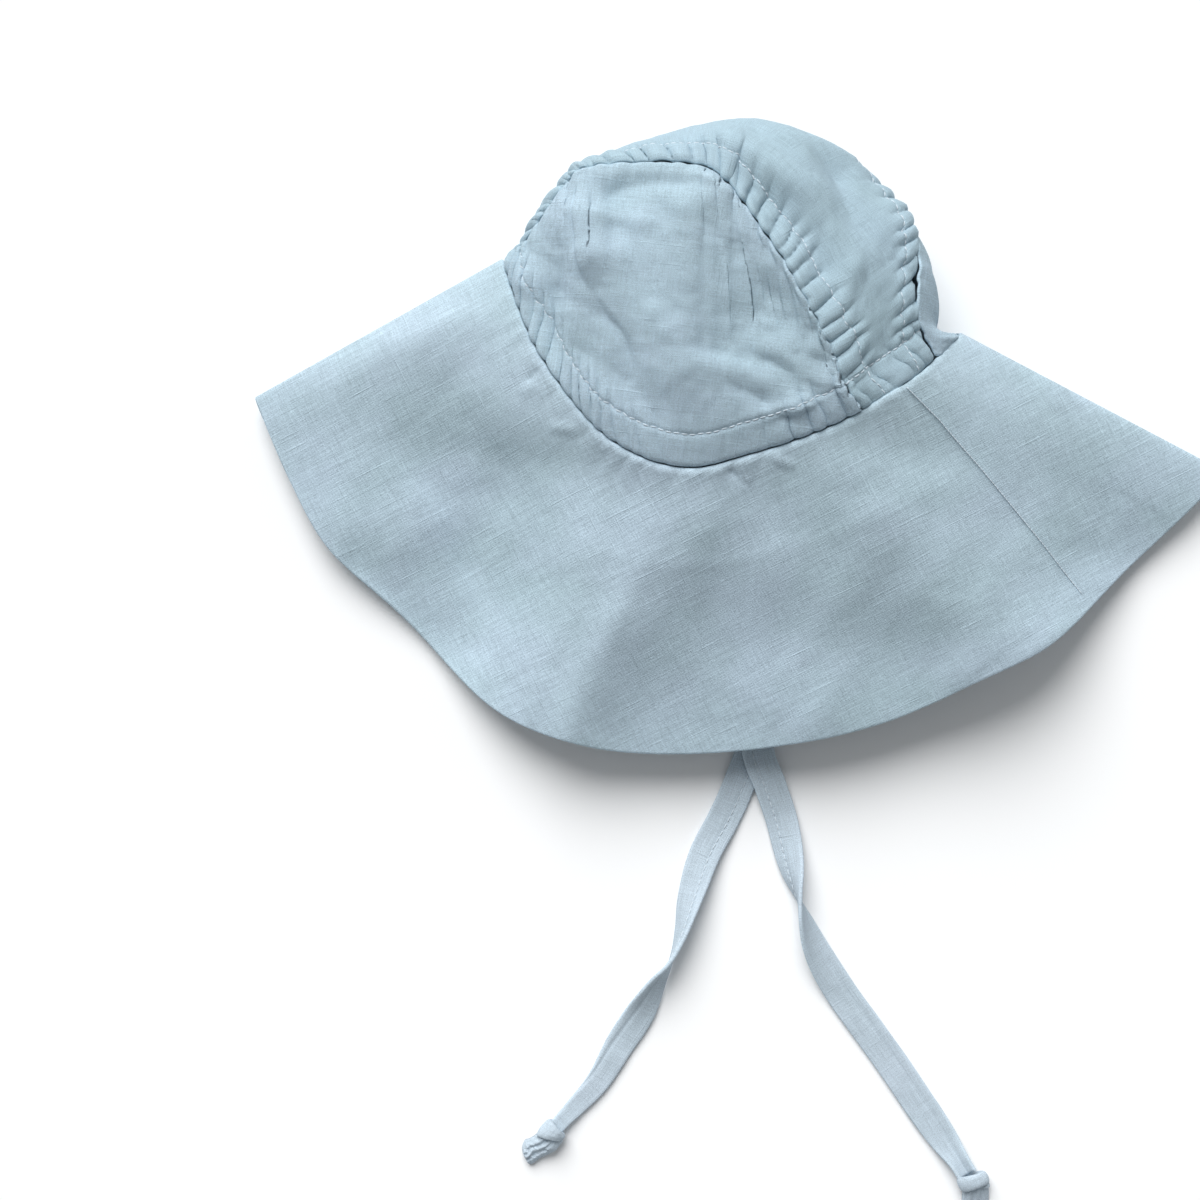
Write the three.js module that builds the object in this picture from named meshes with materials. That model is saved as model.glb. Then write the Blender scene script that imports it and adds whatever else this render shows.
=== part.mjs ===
// A small child's linen sun hat with two knotted ties, lying on its side on a table at Z = 0.
// The crown points to +Y and the front of the hat to -X. The upper half of the brim slopes down
// over the lower half, and the ties come out between the two and lie on the table towards -Y.
// Lengths are millimetres. Every cloth piece is a thin closed wall round a middle surface.
import * as THREE from 'three';

// Cloth
const BRIM_WALL = 1.8;
const CROWN_WALL = 1.3;
const SEAM_WALL = 1.0;
const SEAM_EASE = 4;
const SEAM_GAP = 0.35;
const FOLDED_SEAM_GAP = 0.6;
const LYING_SEAM_GAP = 1.5;
const SECTION_PITCH = 12;
const END_SECTIONS = 1.6;

// Step for the slope of a surface, in sections and in shares of its width
const STEP = 1e-3;
const BRIM_SAG = 5;

// Gathers and puckers: pitch along the seam, height, and how far they reach from it
const GATHER = { pitch: 7.6, height: 0.9, reach: 8 };
const PUCKER = { pitch: 7.2, height: 0.7, reach: 5, stitchLine: 11.5 };

// Ties
const TIE_WIDTH = 11.2;
const TIE_WALL = 1.6;
const TIE_EDGE = 0.5;
const TIE_STEPS = 34;
const TIE_REACH = 0.05;
const KNOT_GAP = 0.6;

// How many faces each sheet gets, along the hat and across the piece
const STEPS = {
  brim: [96, 7],
  upperPanel: [64, 9],
  centerPanel: [108, 7],
  lowerPanel: [40, 5],
  knot: [14, 14],
};

const LINEN = { crown: 0xa5bac8, strip: 0xa1b8c0, brim: 0xa7bbc9, tie: 0xc2d1e0 };

function named(names, rows) {
  return rows.map((row) => Object.fromEntries(names.map((name, i) => [name, row[i]])));
}

// The brim, a row for each rib from the base seam to the rim: the front fold, the upper half from
// front to back, the back fold, and the lower half back to the front.
const FLAT = BRIM_WALL / 2;
const BRIM = named(['seamX', 'seamY', 'seamZ', 'rimX', 'rimY', 'rimZ'], [
  [-81, 61, 22, -168, 14, 6],
  [-78, 50, 30, -156, -14, 8],
  [-71, 32, 37, -142, -38, 12],
  [-61, 16, 42, -117, -61, 17],
  [-48, 1, 45, -86, -92, 13],
  [-33, -8, 47, -54, -105, 12],
  [-17, -11, 48, -21, -108, 14],
  [0, -7, 49, 14, -105, 15],
  [16, -2, 50, 49, -97, 12],
  [33, 5, 51, 80, -83, 13],
  [46, 13, 50, 107, -69, 17],
  [57, 20, 44, 134, -45, 16],
  [67, 29, 34, 156, -24, 10],
  [74, 36, 22, 168.2, -11, 6],
  [68, 33, 9, 158, -20, 2],
  [56, 26, 3, 133, -42, FLAT],
  [39, 19, FLAT, 102, -64, FLAT],
  [18, 12, FLAT, 56, -86, FLAT],
  [-7, 7, FLAT, 7, -97, FLAT],
  [-31, 9, FLAT, -42, -95, FLAT],
  [-52, 20, FLAT, -85, -81, FLAT],
  [-67, 37, FLAT, -123, -48, FLAT],
  [-75, 51, 3, -150, -17, FLAT],
  [-80, 59, 10, -164, 4, 2],
]);
const BACK_FOLD = 13;

// The crown, a row for each section from front to back. upper and lower are the seams of the center
// panel, puff is how far it stands out between them, upperRing and lowerRing are the ribs of the brim
// that the side panels meet there, rise lifts the upper side panel and bulge pushes out the lower one.
const CROWN = named([
  'upperX', 'upperY', 'upperZ', 'lowerX', 'lowerY', 'lowerZ',
  'puff', 'upperRing', 'lowerRing', 'rise', 'bulge',
], [
  [-80, 61, 22, -67, 41, 2, 2.5, 0.0, 21.3, 0, 0],
  [-73, 68, 30, -67, 55, 2, 4, 1.0, 20.6, 2, 0],
  [-66, 77, 36, -63, 70, 3, 5.5, 1.9, 20.0, 4, 0],
  [-60, 85, 41, -56, 79, 3, 5, 2.7, 19.5, 6, 0],
  [-53, 90, 45, -46, 86, 4, 6, 3.7, 19.0, 8, 0],
  [-35, 91, 50, -31, 91, 4, 9.5, 5.0, 18.4, 9, 0],
  [-15, 89, 54, -10, 95, 5, 14, 6.1, 17.8, 9, 0],
  [-6, 82, 57, 14, 98, 6, 16.9, 7.1, 17.2, 8, 0],
  [3, 69, 60, 42, 91, 14, 17, 7.9, 16.6, 6, 3],
  [16, 49, 62, 55, 75, 29, 8, 8.5, 16.0, 3, 12],
  [25, 32, 60, 58.5, 58, 40, 3, 8.9, 15.4, 1, 12],
  [32, 17, 56, 57.5, 42, 43, 1.5, 9.2, 14.6, 0, 7],
  [38, 8, 51, 64, 27, 37, 1, 9.4, 11.7, 0, 0],
]);
const CROWN_END = CROWN.length - 1;
const CROWN_CENTER = new THREE.Vector3(-5, 40, 30);

// Soft folds, a row for each, along a line through three points of the plan: a ridge where height is
// positive and a valley where it is negative. hang is how much lower the cloth lies to its right.
const FOLDS = named(['sheet', 'from', 'over', 'to', 'spread', 'height', 'hang'], [
  ['brim', [102.9, -94.6], [47, -28.2], [3.9, 27.5], 20, 8, -0.2],
  ['brim', [-192.6, -9.5], [-125.3, 33.3], [-37.9, 59], 7.4, 6.3, -4],
  ['brim', [-70.6, -139.8], [-63, -95.1], [-30.4, -25.6], 20, 8, -4],
  ['brim', [-166.7, -3.3], [-126.7, 32.6], [-59, 51.8], 9.4, 8, -2.1],
  ['brim', [-83.9, -83.3], [-102.4, -27.4], [-142.9, 17.5], 20, -8, 4],
  ['brim', [144.6, -94.1], [133.5, -38.1], [78.1, 1.5], 19.1, -8, 3.1],
  ['brim', [-19.1, -27.7], [-57.2, -13.6], [-129, 0.3], 20, -8, 2.8],
  ['brim', [-139.9, -3.2], [-116.6, 40.1], [-45.2, 56.8], 14.5, 8, 2.1],
  ['brim', [28.6, -125.6], [77.2, -66.8], [78.8, -25.6], 19.1, 8, -1.1],
  ['brim', [4.7, -124.2], [40.6, -63.3], [85.8, -16.4], 20, 6.1, -1.6],
  ['brim', [89.5, -20.5], [43, 9.2], [18, 34.8], 16.8, -8, 1.1],
  ['brim', [-75.6, -94.1], [-112.1, -56.2], [-131.5, -25.6], 19.3, -8, -0.2],
  ['brim', [11.2, -33.1], [-36.5, -29.7], [-83.4, -28.4], 20, 7.3, -1.1],
  ['brim', [61.4, -101], [106.6, -65.2], [133.9, -58.3], 11.8, 8, -2.6],
  ['brim', [165.2, -12.3], [142.4, -44.1], [96.3, -37.9], 20, -8, 4],
  ['brim', [-109.2, -57.6], [-87, -35], [-80, 2.9], 20, -7.1, -2.7],
  ['brim', [-100, 14.6], [-119.4, 32.4], [-156, 30.4], 20, 8, -4],
  ['brim', [90, -23], [44.4, -16.9], [-0.1, -1.2], 19, 4.6, -2.7],
  ['brim', [-100.6, -95.1], [-134.1, -48.6], [-159.6, -56.8], 20, -5.8, 4],
  ['brim', [50.7, -60.6], [17.2, -43.8], [-11, -40.5], 19.2, 5.2, 0.5],
  ['upperPanel', [-18.3, 51.9], [-16.2, 73.3], [6.7, 119.5], 8, 4.5, -1.1],
  ['upperPanel', [-62.8, -2.9], [-67.6, 41], [-55.6, 74.1], 4.9, -3.4, 0.8],
  ['upperPanel', [-19.5, -4.3], [-39.4, 18.7], [-74.3, 41.2], 8, -2.1, -0.7],
  ['upperPanel', [-41.3, 58.1], [-45.2, 76.7], [-49.2, 90.4], 5.9, -5, -0.1],
  ['upperPanel', [-53.6, 47.4], [-54.3, 69.2], [-67.9, 80.9], 8, 4.2, -1.5],
  ['upperPanel', [26.2, 9.5], [1.9, 24.8], [-25.3, 33.3], 5.6, -2.5, 1],
  ['upperPanel', [25.4, 40], [14, 36.6], [-21.8, 37.9], 8, -2.9, 0.6],
  ['upperPanel', [17.8, 42.2], [-2.9, 48.6], [-11.8, 62.6], 8, -2.8, 0.3],
  ['upperPanel', [-55.9, 73.9], [-36.1, 83.4], [-1.9, 79], 3.1, -1.7, 0],
  ['upperPanel', [17.8, 26.8], [11.8, 42], [-5.3, 64.7], 3.5, -1.9, -0.5],
  ['upperPanel', [-74.8, 33.1], [-56.2, 69.1], [-61.1, 113.6], 7.5, -0.9, -0.2],
  ['upperPanel', [-33.7, 22.9], [-47.5, 40.2], [-74.3, 56.7], 8, -1.4, -1.1],
  ['upperPanel', [-43.6, 57.8], [-53.1, 65.5], [-55.7, 87.9], 2.8, 2.3, -1.8],
  ['upperPanel', [22.4, 0.6], [-0.8, 14.9], [-15.1, 18], 3.9, -1.7, -0.5],
  ['upperPanel', [-24.8, 71.2], [-32.4, 70.6], [-57.6, 76.3], 5, 1.8, 1.1],
  ['upperPanel', [13.1, 20.2], [-18.6, 28.4], [-22, 24], 2.5, -1.6, -0.1],
  ['centerPanel', [31.2, 36.7], [19.1, 64.5], [-8.2, 87.3], 7, -3.9, 0.9],
  ['centerPanel', [42, 55.9], [28.4, 97.7], [18.8, 111.6], 7, -4, 0.9],
  ['centerPanel', [39.8, 47], [50.9, 60], [57.5, 101.4], 7, 3.5, -0.6],
  ['centerPanel', [23.9, 75.5], [-0.9, 94.8], [-17.5, 103], 4.8, 3.9, 0.2],
  ['centerPanel', [24.1, 98.6], [-4.3, 96.8], [-27.2, 102.4], 4.2, 3.6, -2.8],
  ['centerPanel', [51.9, 79.8], [35.4, 92.9], [30.6, 98.7], 4.6, -3.9, 4],
  ['centerPanel', [28.9, 12.5], [52, 28.8], [69.4, 50], 6.3, -1.9, 0.7],
  ['centerPanel', [-20.4, 97.2], [-39, 99.2], [-45.7, 100.9], 5, -4, 3.1],
  ['centerPanel', [69.8, 47.1], [49.5, 58.4], [60.8, 72.1], 6.2, -2.8, 1.1],
]);

// The share of a fold's line over which it grows, how far from a seam folds start, and the share of the
// center panel's width that they cover
const FOLD_FADE = 0.35;
const FOLD_START = 5;
const FOLDS_UNTIL = 0.55;

// The ties, a row for each point from the seam to the knot. under is the height of what the tie
// lies on there, and lean is how far it is turned over, in degrees.
const TIE_LEFT = named(['x', 'y', 'under', 'lean'], [
  [-1, 5, 2.2, 0],
  [0, -20, 2.1, 0],
  [3, -55, 2.1, 0],
  [4.5, -88, 2.1, 0],
  [5.2, -104, 1.8, 0],
  [-0.6, -121, 0.5, 0],
  [-5.6, -132, 0.1, 2],
  [-12, -144, 0.1, 12],
  [-16.8, -158, 0.1, 36],
  [-20, -170, 0.1, 68],
  [-24, -181, 0.1, 95],
  [-29, -189, 0.1, 128],
  [-35, -200, 0.1, 165],
  [-42, -211, 0.1, 180],
  [-49, -223, 0.1, 180],
  [-57, -232, 0.4, 180],
  [-61, -236, 1.6, 180],
]);
const TIE_RIGHT = named(['x', 'y', 'under', 'lean'], [
  [3, -3, 46.2, 0],
  [3.6, -11, 43.4, 0],
  [4.2, -18, 38, 0],
  [4.6, -25, 28, 0],
  [5, -34, 16, 0],
  [5.3, -46, 7.5, 0],
  [5.6, -62, 4.3, 0],
  [5.8, -85, 4.1, 0],
  [6.5, -107, 4.1, 0],
  [11, -120, 2.4, 0],
  [15, -132, 0.4, 6],
  [18, -146, 0.1, 32],
  [21, -160, 0.1, 90],
  [26, -175, 0.1, 145],
  [35, -191, 0.1, 176],
  [45, -205, 0.1, 180],
  [55, -219, 0.1, 180],
  [63, -231, 0.1, 180],
  [72, -244, 0.4, 180],
  [76.5, -250.5, 1.6, 180],
]);

// A knot, a row for each section from the tie to the end of its tail, with half sizes
const KNOT = named(['along', 'halfWidth', 'halfHeight'], [
  [0, 4.6, 1.0],
  [1.2, 4.6, 2.4],
  [3, 4.8, 3.9],
  [5.5, 5.0, 4.4],
  [8, 4.7, 3.8],
  [9.6, 3.8, 2.2],
  [10.8, 3.9, 1.1],
  [14, 4.9, 0.9],
  [18, 5.2, 0.9],
]);
const KNOT_RIDGE = 0.09;
const KNOT_WRAPS = 2;
const KNOT_TWIST = 0.45;

// Where each knot starts, its middle and the end of its tail
const KNOT_LEFT = [[-61, -236, 3], [-66, -242, 4.4], [-74, -252, 1.4]];
const KNOT_RIGHT = [[76.5, -250.5, 3], [81.5, -258.5, 4.4], [85, -271, 1.4]];

// Three named columns of a table as a smooth curve, read by row number
function track(rows, [x, y, z], closed = false) {
  const curve = new THREE.CatmullRomCurve3(
    rows.map((row) => new THREE.Vector3(row[x], row[y], row[z])), closed, 'catmullrom', 0.5);
  const span = closed ? rows.length : rows.length - 1;
  const inRange = (t) => (closed ? t : THREE.MathUtils.clamp(t, 0, 1));
  const read = (station) => curve.getPoint(inRange(station / span));
  read.curve = curve;
  read.span = span;
  return read;
}

const brimSeam = track(BRIM, ['seamX', 'seamY', 'seamZ'], true);
const brimRim = track(BRIM, ['rimX', 'rimY', 'rimZ'], true);
const upperSeam = track(CROWN, ['upperX', 'upperY', 'upperZ']);
const lowerSeam = track(CROWN, ['lowerX', 'lowerY', 'lowerZ']);
const crownRings = track(CROWN, ['upperRing', 'lowerRing', 'puff']);
const crownSwell = track(CROWN, ['rise', 'bulge', 'puff']);

const hump = (t) => 4 * t * (1 - t);
const lerpPoint = (a, b, t) => a.clone().lerp(b, t);
const smooth = (t) => THREE.MathUtils.smoothstep(t, 0, 1);

// How far a point of the plan is from a fold's line, on which side, and how much the fold has grown there
function besideFold({ from, over, to }, point) {
  const line = [from, over, to];
  const sizes = [0, 1].map((k) => Math.hypot(line[k + 1][0] - line[k][0], line[k + 1][1] - line[k][1]));
  const whole = sizes[0] + sizes[1];
  let near = { distance: Infinity };
  for (const k of [0, 1]) {
    const wayX = (line[k + 1][0] - line[k][0]) / sizes[k];
    const wayY = (line[k + 1][1] - line[k][1]) / sizes[k];
    const awayX = point.x - line[k][0];
    const awayY = point.y - line[k][1];
    const along = THREE.MathUtils.clamp(awayX * wayX + awayY * wayY, 0, sizes[k]);
    const distance = Math.hypot(awayX - along * wayX, awayY - along * wayY);
    if (distance < near.distance) {
      const walked = (k * sizes[0] + along) / whole;
      near = { distance, side: awayX * wayY - awayY * wayX, walked };
    }
  }
  return { ...near, grown: smooth(Math.min(near.walked, 1 - near.walked) / FOLD_FADE) };
}

// The height of all the soft folds of one sheet over a point of the plan
function relief(sheet, point) {
  let height = 0;
  for (const fold of FOLDS.filter((row) => row.sheet === sheet)) {
    const { distance, side, grown } = besideFold(fold, point);
    height += fold.height * grown * Math.exp(-((distance / fold.spread) ** 2));
    height -= fold.hang * grown * Math.exp(-((distance / (3 * fold.spread)) ** 2)) * smooth(side + 0.3);
  }
  return height;
}

// Waves along a seam: a ripple by arc length that fades with the distance from its line
function ripple(seam, station, { pitch, height, reach }, distance) {
  const lengths = seam.curve.getLengths(240);
  const place = THREE.MathUtils.clamp(station / seam.span, 0, 1) * 240;
  const low = Math.min(Math.floor(place), 239);
  const arc = THREE.MathUtils.lerp(lengths[low], lengths[low + 1], place - low);
  return height * Math.cos((2 * Math.PI * arc) / pitch) * Math.exp(-((distance / reach) ** 2));
}

function outward(point) {
  return new THREE.Vector3(point.x - CROWN_CENTER.x, point.y - CROWN_CENTER.y, 0).normalize();
}

function brimPoint(rib, t) {
  const point = lerpPoint(brimSeam(rib), brimRim(rib), t);
  const turn = ((rib % BRIM.length) + BRIM.length) % BRIM.length;
  if (turn < BACK_FOLD) {
    const upper = Math.sin((Math.PI * turn) / BACK_FOLD);
    point.z += upper * (relief('brim', point) * Math.min(1, 3 * t) - BRIM_SAG * hump(t));
  }
  return point;
}

// The stretch of base seam that an end of the center panel is sewn to
function centerEnd(atBack, t) {
  const row = atBack ? CROWN[CROWN_END] : CROWN[0];
  const from = atBack ? row.upperRing : row.upperRing + BRIM.length;
  return brimSeam(THREE.MathUtils.lerp(from, row.lowerRing, t));
}

function centerPanelPoint(station, t) {
  const upper = upperSeam(station);
  const lower = lowerSeam(station);
  const chord = lower.clone().sub(upper);
  const out = outward(lerpPoint(upper, lower, 0.5));
  const across = chord.clone().normalize();
  out.addScaledVector(across, -out.dot(across)).normalize();
  const point = upper.clone().addScaledVector(chord, t);
  point.addScaledVector(out, hump(t) * crownSwell(station).z);
  const inside = Math.min(1, 4 * hump(t));
  const size = chord.length();
  const gathers = ripple(upperSeam, station, GATHER, t * size - GATHER.reach / 2)
    + ripple(lowerSeam, station, GATHER, (1 - t) * size - GATHER.reach / 2);
  const fromEnd = Math.min(station, CROWN_END - station);
  const onTop = smooth(t * size / FOLD_START) * smooth((FOLDS_UNTIL - t) / 0.25) * smooth(fromEnd - 0.4);
  point.addScaledVector(out, inside * gathers + onTop * relief('centerPanel', point));
  const end = Math.max(0, 1 - fromEnd / END_SECTIONS);
  return point.lerp(centerEnd(station > CROWN_END / 2, t), end ** 1.5);
}

function upperPanelPoint(station, t) {
  const ring = brimSeam(crownRings(station).x);
  const seam = upperSeam(station);
  const point = lerpPoint(ring, seam, t);
  const size = ring.distanceTo(seam);
  const slack = 1 - Math.exp(-(((station - 6.5) / 2) ** 2));
  point.z += hump(t) * crownSwell(station).x;
  const puckers = slack * ripple(upperSeam, station, PUCKER, t * size - PUCKER.stitchLine);
  const inside = smooth(t * size / PUCKER.stitchLine) * smooth((1 - t) * size / FOLD_START);
  point.z += Math.min(1, 2 * hump(t)) * puckers + inside * relief('upperPanel', point);
  return point;
}

function lowerPanelPoint(station, t) {
  const point = lerpPoint(brimSeam(crownRings(station).y), lowerSeam(station), t);
  return point.addScaledVector(outward(point), hump(t) * crownSwell(station).y);
}

// A closed body from faces given as corner numbers, turned so that its faces point out
function body(name, corners, faces, color) {
  const volume = faces.reduce((sum, [a, b, c]) => (
    sum + corners[a].dot(corners[b].clone().cross(corners[c]))), 0);
  const index = volume > 0 ? faces.flat() : faces.map(([a, b, c]) => [a, c, b]).flat();
  const geometry = new THREE.BufferGeometry().setFromPoints(corners);
  geometry.setIndex(index);
  geometry.computeVertexNormals();
  const material = new THREE.MeshStandardMaterial({ color, roughness: 0.92, metalness: 0 });
  const mesh = new THREE.Mesh(geometry, material);
  mesh.name = name;
  return mesh;
}

// A cloth wall round the middle surface point(u, t), with its ends and edges drawn back from the seams
function clothSheet(name, { point, from, to, steps, ring = false, wall, insets, color }) {
  const [along, across] = steps;
  const rowsCount = ring ? along : along + 1;
  const corners = [];
  for (let i = 0; i < rowsCount; i += 1) {
    const u = THREE.MathUtils.lerp(from, to, i / along);
    const size = point(u, 0).distanceTo(point(u, 1));
    const start = insets[0] / size;
    const end = 1 - insets[1] / size;
    for (let j = 0; j <= across; j += 1) {
      const t = THREE.MathUtils.lerp(start, end, j / across);
      const alongStep = point(u + STEP, t).sub(point(u - STEP, t));
      const acrossStep = point(u, t + STEP).sub(point(u, t - STEP));
      const normal = alongStep.cross(acrossStep).normalize();
      const fromSeam = size * Math.min(insets[0] > 0 ? t - start : 1, insets[1] > 0 ? end - t : 1);
      const fromEnd = ring ? SEAM_EASE : SECTION_PITCH * Math.min(u - from, to - u);
      const eased = smooth(Math.min(fromSeam, fromEnd) / SEAM_EASE);
      const half = THREE.MathUtils.lerp(SEAM_WALL, wall, eased) / 2;
      const middle = point(u, t);
      middle.z = Math.max(middle.z, half);
      corners.push(middle.clone().addScaledVector(normal, half));
      corners.push(middle.clone().addScaledVector(normal, -half));
    }
  }
  const corner = (i, j, side) => 2 * ((i % rowsCount) * (across + 1) + j) + side;
  const faces = [];
  const quad = (a, b, c, d) => faces.push([a, b, c], [a, c, d]);
  for (let i = 0; i < along; i += 1) {
    for (let j = 0; j < across; j += 1) {
      quad(corner(i, j, 0), corner(i + 1, j, 0), corner(i + 1, j + 1, 0), corner(i, j + 1, 0));
      quad(corner(i, j, 1), corner(i, j + 1, 1), corner(i + 1, j + 1, 1), corner(i + 1, j, 1));
    }
    quad(corner(i, 0, 0), corner(i, 0, 1), corner(i + 1, 0, 1), corner(i + 1, 0, 0));
    quad(corner(i, across, 0), corner(i + 1, across, 0), corner(i + 1, across, 1), corner(i, across, 1));
  }
  if (!ring) {
    for (let j = 0; j < across; j += 1) {
      for (const [i, a, b] of [[0, 0, 1], [along, 1, 0]]) {
        quad(corner(i, j, a), corner(i, j + 1, a), corner(i, j + 1, b), corner(i, j, b));
      }
    }
  }
  return body(name, corners, faces, color);
}

// A body lofted through rings of corners, closed with a fan at each end
function loft(name, rings, color) {
  const sides = rings[0].length;
  const corners = rings.flat();
  const last = (rings.length - 1) * sides;
  const faces = [];
  for (let i = 0; i < rings.length - 1; i += 1) {
    for (let j = 0; j < sides; j += 1) {
      const a = i * sides + j;
      const b = i * sides + ((j + 1) % sides);
      faces.push([a, b, b + sides], [a, b + sides, a + sides]);
    }
  }
  for (let j = 1; j < sides - 1; j += 1) {
    faces.push([0, j + 1, j], [last, last + j, last + j + 1]);
  }
  return body(name, corners, faces, color);
}

// The side and the face directions of a strip that runs along a tangent, turned over by lean degrees
function frameOf(tangent, lean) {
  const side = new THREE.Vector3(0, 0, 1).cross(tangent).normalize();
  side.applyAxisAngle(tangent, THREE.MathUtils.degToRad(lean));
  return { side, face: tangent.clone().cross(side) };
}

function tie(name, rows) {
  const plan = track(rows, ['x', 'y', 'under']);
  const turn = track(rows, ['lean', 'lean', 'lean']);
  const half = { width: TIE_WIDTH / 2, wall: TIE_WALL / 2 };
  const place = (station) => {
    const point = plan(station);
    const lean = THREE.MathUtils.degToRad(turn(station).x);
    point.z += half.width * Math.abs(Math.sin(lean)) + half.wall * Math.abs(Math.cos(lean));
    return point;
  };
  const section = [
    [half.width, -TIE_EDGE / 2], [half.width, TIE_EDGE / 2], [half.width - TIE_EDGE, half.wall],
    [TIE_EDGE - half.width, half.wall], [-half.width, TIE_EDGE / 2], [-half.width, -TIE_EDGE / 2],
    [TIE_EDGE - half.width, -half.wall], [half.width - TIE_EDGE, -half.wall],
  ];
  const rings = [];
  for (let i = 0; i <= TIE_STEPS; i += 1) {
    const station = (plan.span * i) / TIE_STEPS;
    const tangent = place(station + TIE_REACH).sub(place(station - TIE_REACH)).normalize();
    const { side, face } = frameOf(tangent, turn(station).x);
    const middle = place(station);
    rings.push(section.map(([x, y]) => middle.clone().addScaledVector(side, x).addScaledVector(face, y)));
  }
  return loft(name, rings, LINEN.tie);
}

function knot(name, points) {
  const [rowsCount, sides] = STEPS.knot;
  const stops = points.map((point) => new THREE.Vector3(...point));
  const path = new THREE.CatmullRomCurve3(stops, false, 'catmullrom', 0.5);
  const size = path.getLength();
  const sizes = track(KNOT, ['along', 'halfWidth', 'halfHeight']);
  const full = KNOT[KNOT.length - 1].along;
  const rings = [];
  for (let i = 0; i <= rowsCount; i += 1) {
    const { x: along, y: halfWidth, z: halfHeight } = sizes((sizes.span * i) / rowsCount);
    const t = Math.min(1, THREE.MathUtils.lerp(KNOT_GAP / size, 1, along / full));
    const middle = path.getPointAt(t);
    const { side, face } = frameOf(path.getTangentAt(t).setZ(0).normalize(), 0);
    const ring = [];
    for (let j = 0; j < sides; j += 1) {
      const angle = (2 * Math.PI * j) / sides;
      const wraps = Math.cos(KNOT_WRAPS * angle - KNOT_TWIST * along);
      const swell = 1 + KNOT_RIDGE * wraps * smooth(halfHeight / 4);
      const point = middle.clone()
        .addScaledVector(side, halfWidth * swell * Math.cos(angle))
        .addScaledVector(face, halfHeight * swell * Math.sin(angle));
      point.z = Math.max(point.z, 0.05);
      ring.push(point);
    }
    rings.push(ring);
  }
  return loft(name, rings, LINEN.tie);
}

const hat = new THREE.Group();
hat.add(
  clothSheet('brim', {
    point: brimPoint, from: 0, to: BRIM.length, steps: STEPS.brim, ring: true,
    wall: BRIM_WALL, insets: [SEAM_GAP, 0], color: LINEN.brim,
  }),
  clothSheet('crown_side_panel_upper', {
    point: upperPanelPoint, from: 0.25, to: CROWN_END - 0.3, steps: STEPS.upperPanel,
    wall: CROWN_WALL, insets: [SEAM_GAP, FOLDED_SEAM_GAP], color: LINEN.crown,
  }),
  clothSheet('crown_center_panel', {
    point: centerPanelPoint, from: 0.12, to: CROWN_END - 0.22, steps: STEPS.centerPanel,
    wall: CROWN_WALL, insets: [FOLDED_SEAM_GAP, FOLDED_SEAM_GAP], color: LINEN.strip,
  }),
  clothSheet('crown_side_panel_lower', {
    point: lowerPanelPoint, from: 0.3, to: CROWN_END - 0.8, steps: STEPS.lowerPanel,
    wall: CROWN_WALL, insets: [LYING_SEAM_GAP, FOLDED_SEAM_GAP], color: LINEN.crown,
  }),
  tie('tie_left', TIE_LEFT),
  tie('tie_right', TIE_RIGHT),
  knot('knot_left', KNOT_LEFT),
  knot('knot_right', KNOT_RIGHT),
);

export default hat;
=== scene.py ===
"""A small child's linen sun hat with two knotted ties, lying on its side and seen from straight above.

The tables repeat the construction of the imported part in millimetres, and every mesh is made in metres.
"""
import logging
import math
from abc import ABC, abstractmethod
from dataclasses import dataclass, field
from enum import Enum
from typing import NamedTuple

import bpy
import numpy as np
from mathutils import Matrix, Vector


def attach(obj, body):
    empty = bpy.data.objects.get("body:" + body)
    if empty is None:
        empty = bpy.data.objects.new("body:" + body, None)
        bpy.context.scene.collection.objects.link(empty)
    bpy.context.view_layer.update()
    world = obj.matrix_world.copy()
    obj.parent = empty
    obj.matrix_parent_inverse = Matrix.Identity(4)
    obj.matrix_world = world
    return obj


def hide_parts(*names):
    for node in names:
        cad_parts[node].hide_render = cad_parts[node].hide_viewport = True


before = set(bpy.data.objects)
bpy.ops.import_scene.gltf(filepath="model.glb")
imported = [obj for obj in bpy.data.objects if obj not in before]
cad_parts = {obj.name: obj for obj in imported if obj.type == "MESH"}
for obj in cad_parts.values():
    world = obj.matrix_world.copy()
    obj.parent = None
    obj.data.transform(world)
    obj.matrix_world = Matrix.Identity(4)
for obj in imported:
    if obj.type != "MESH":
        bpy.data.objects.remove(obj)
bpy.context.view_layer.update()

Array = np.ndarray
Point = tuple[float, float, float]

MM = 0.001
BODY = "root"
GRAIN = "grain"
WEAR = "wear"

BRIM_WALL = 1.8
CROWN_WALL = 1.3
BRIM_SAG = 5.0
END_SECTIONS = 1.6
SCALLOPS = 2.9
SCALLOP_DEPTH = 0.8
SCALLOP_REACH = 4.5
UPPER_SEAM = 51
LOWER_SEAM = 52
CASING = 9.3
BAND = 11.5
TIE_WIDTH = 11.2
TIE_WALL = 1.6

log = logging.getLogger("sun_hat")


class Side(Enum):
    """Which side of the lying hat a side panel is on."""

    UPPER = "upper"
    LOWER = "lower"


class Edge(Enum):
    """An edge of a sheet that a row of stitches follows."""

    START = "start"
    END = "end"
    FIRST_ROW = "first_row"
    LAST_ROW = "last_row"


class BrimRib(NamedTuple):
    """A rib of the brim from the base seam to the rim."""

    seam_x: float
    seam_y: float
    seam_z: float
    rim_x: float
    rim_y: float
    rim_z: float


class CrownSection(NamedTuple):
    """A section of the crown: the two seams of its center panel, and what the side panels do there."""

    upper_x: float
    upper_y: float
    upper_z: float
    lower_x: float
    lower_y: float
    lower_z: float
    puff: float
    upper_ring: float
    lower_ring: float
    rise: float
    bulge: float


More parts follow.
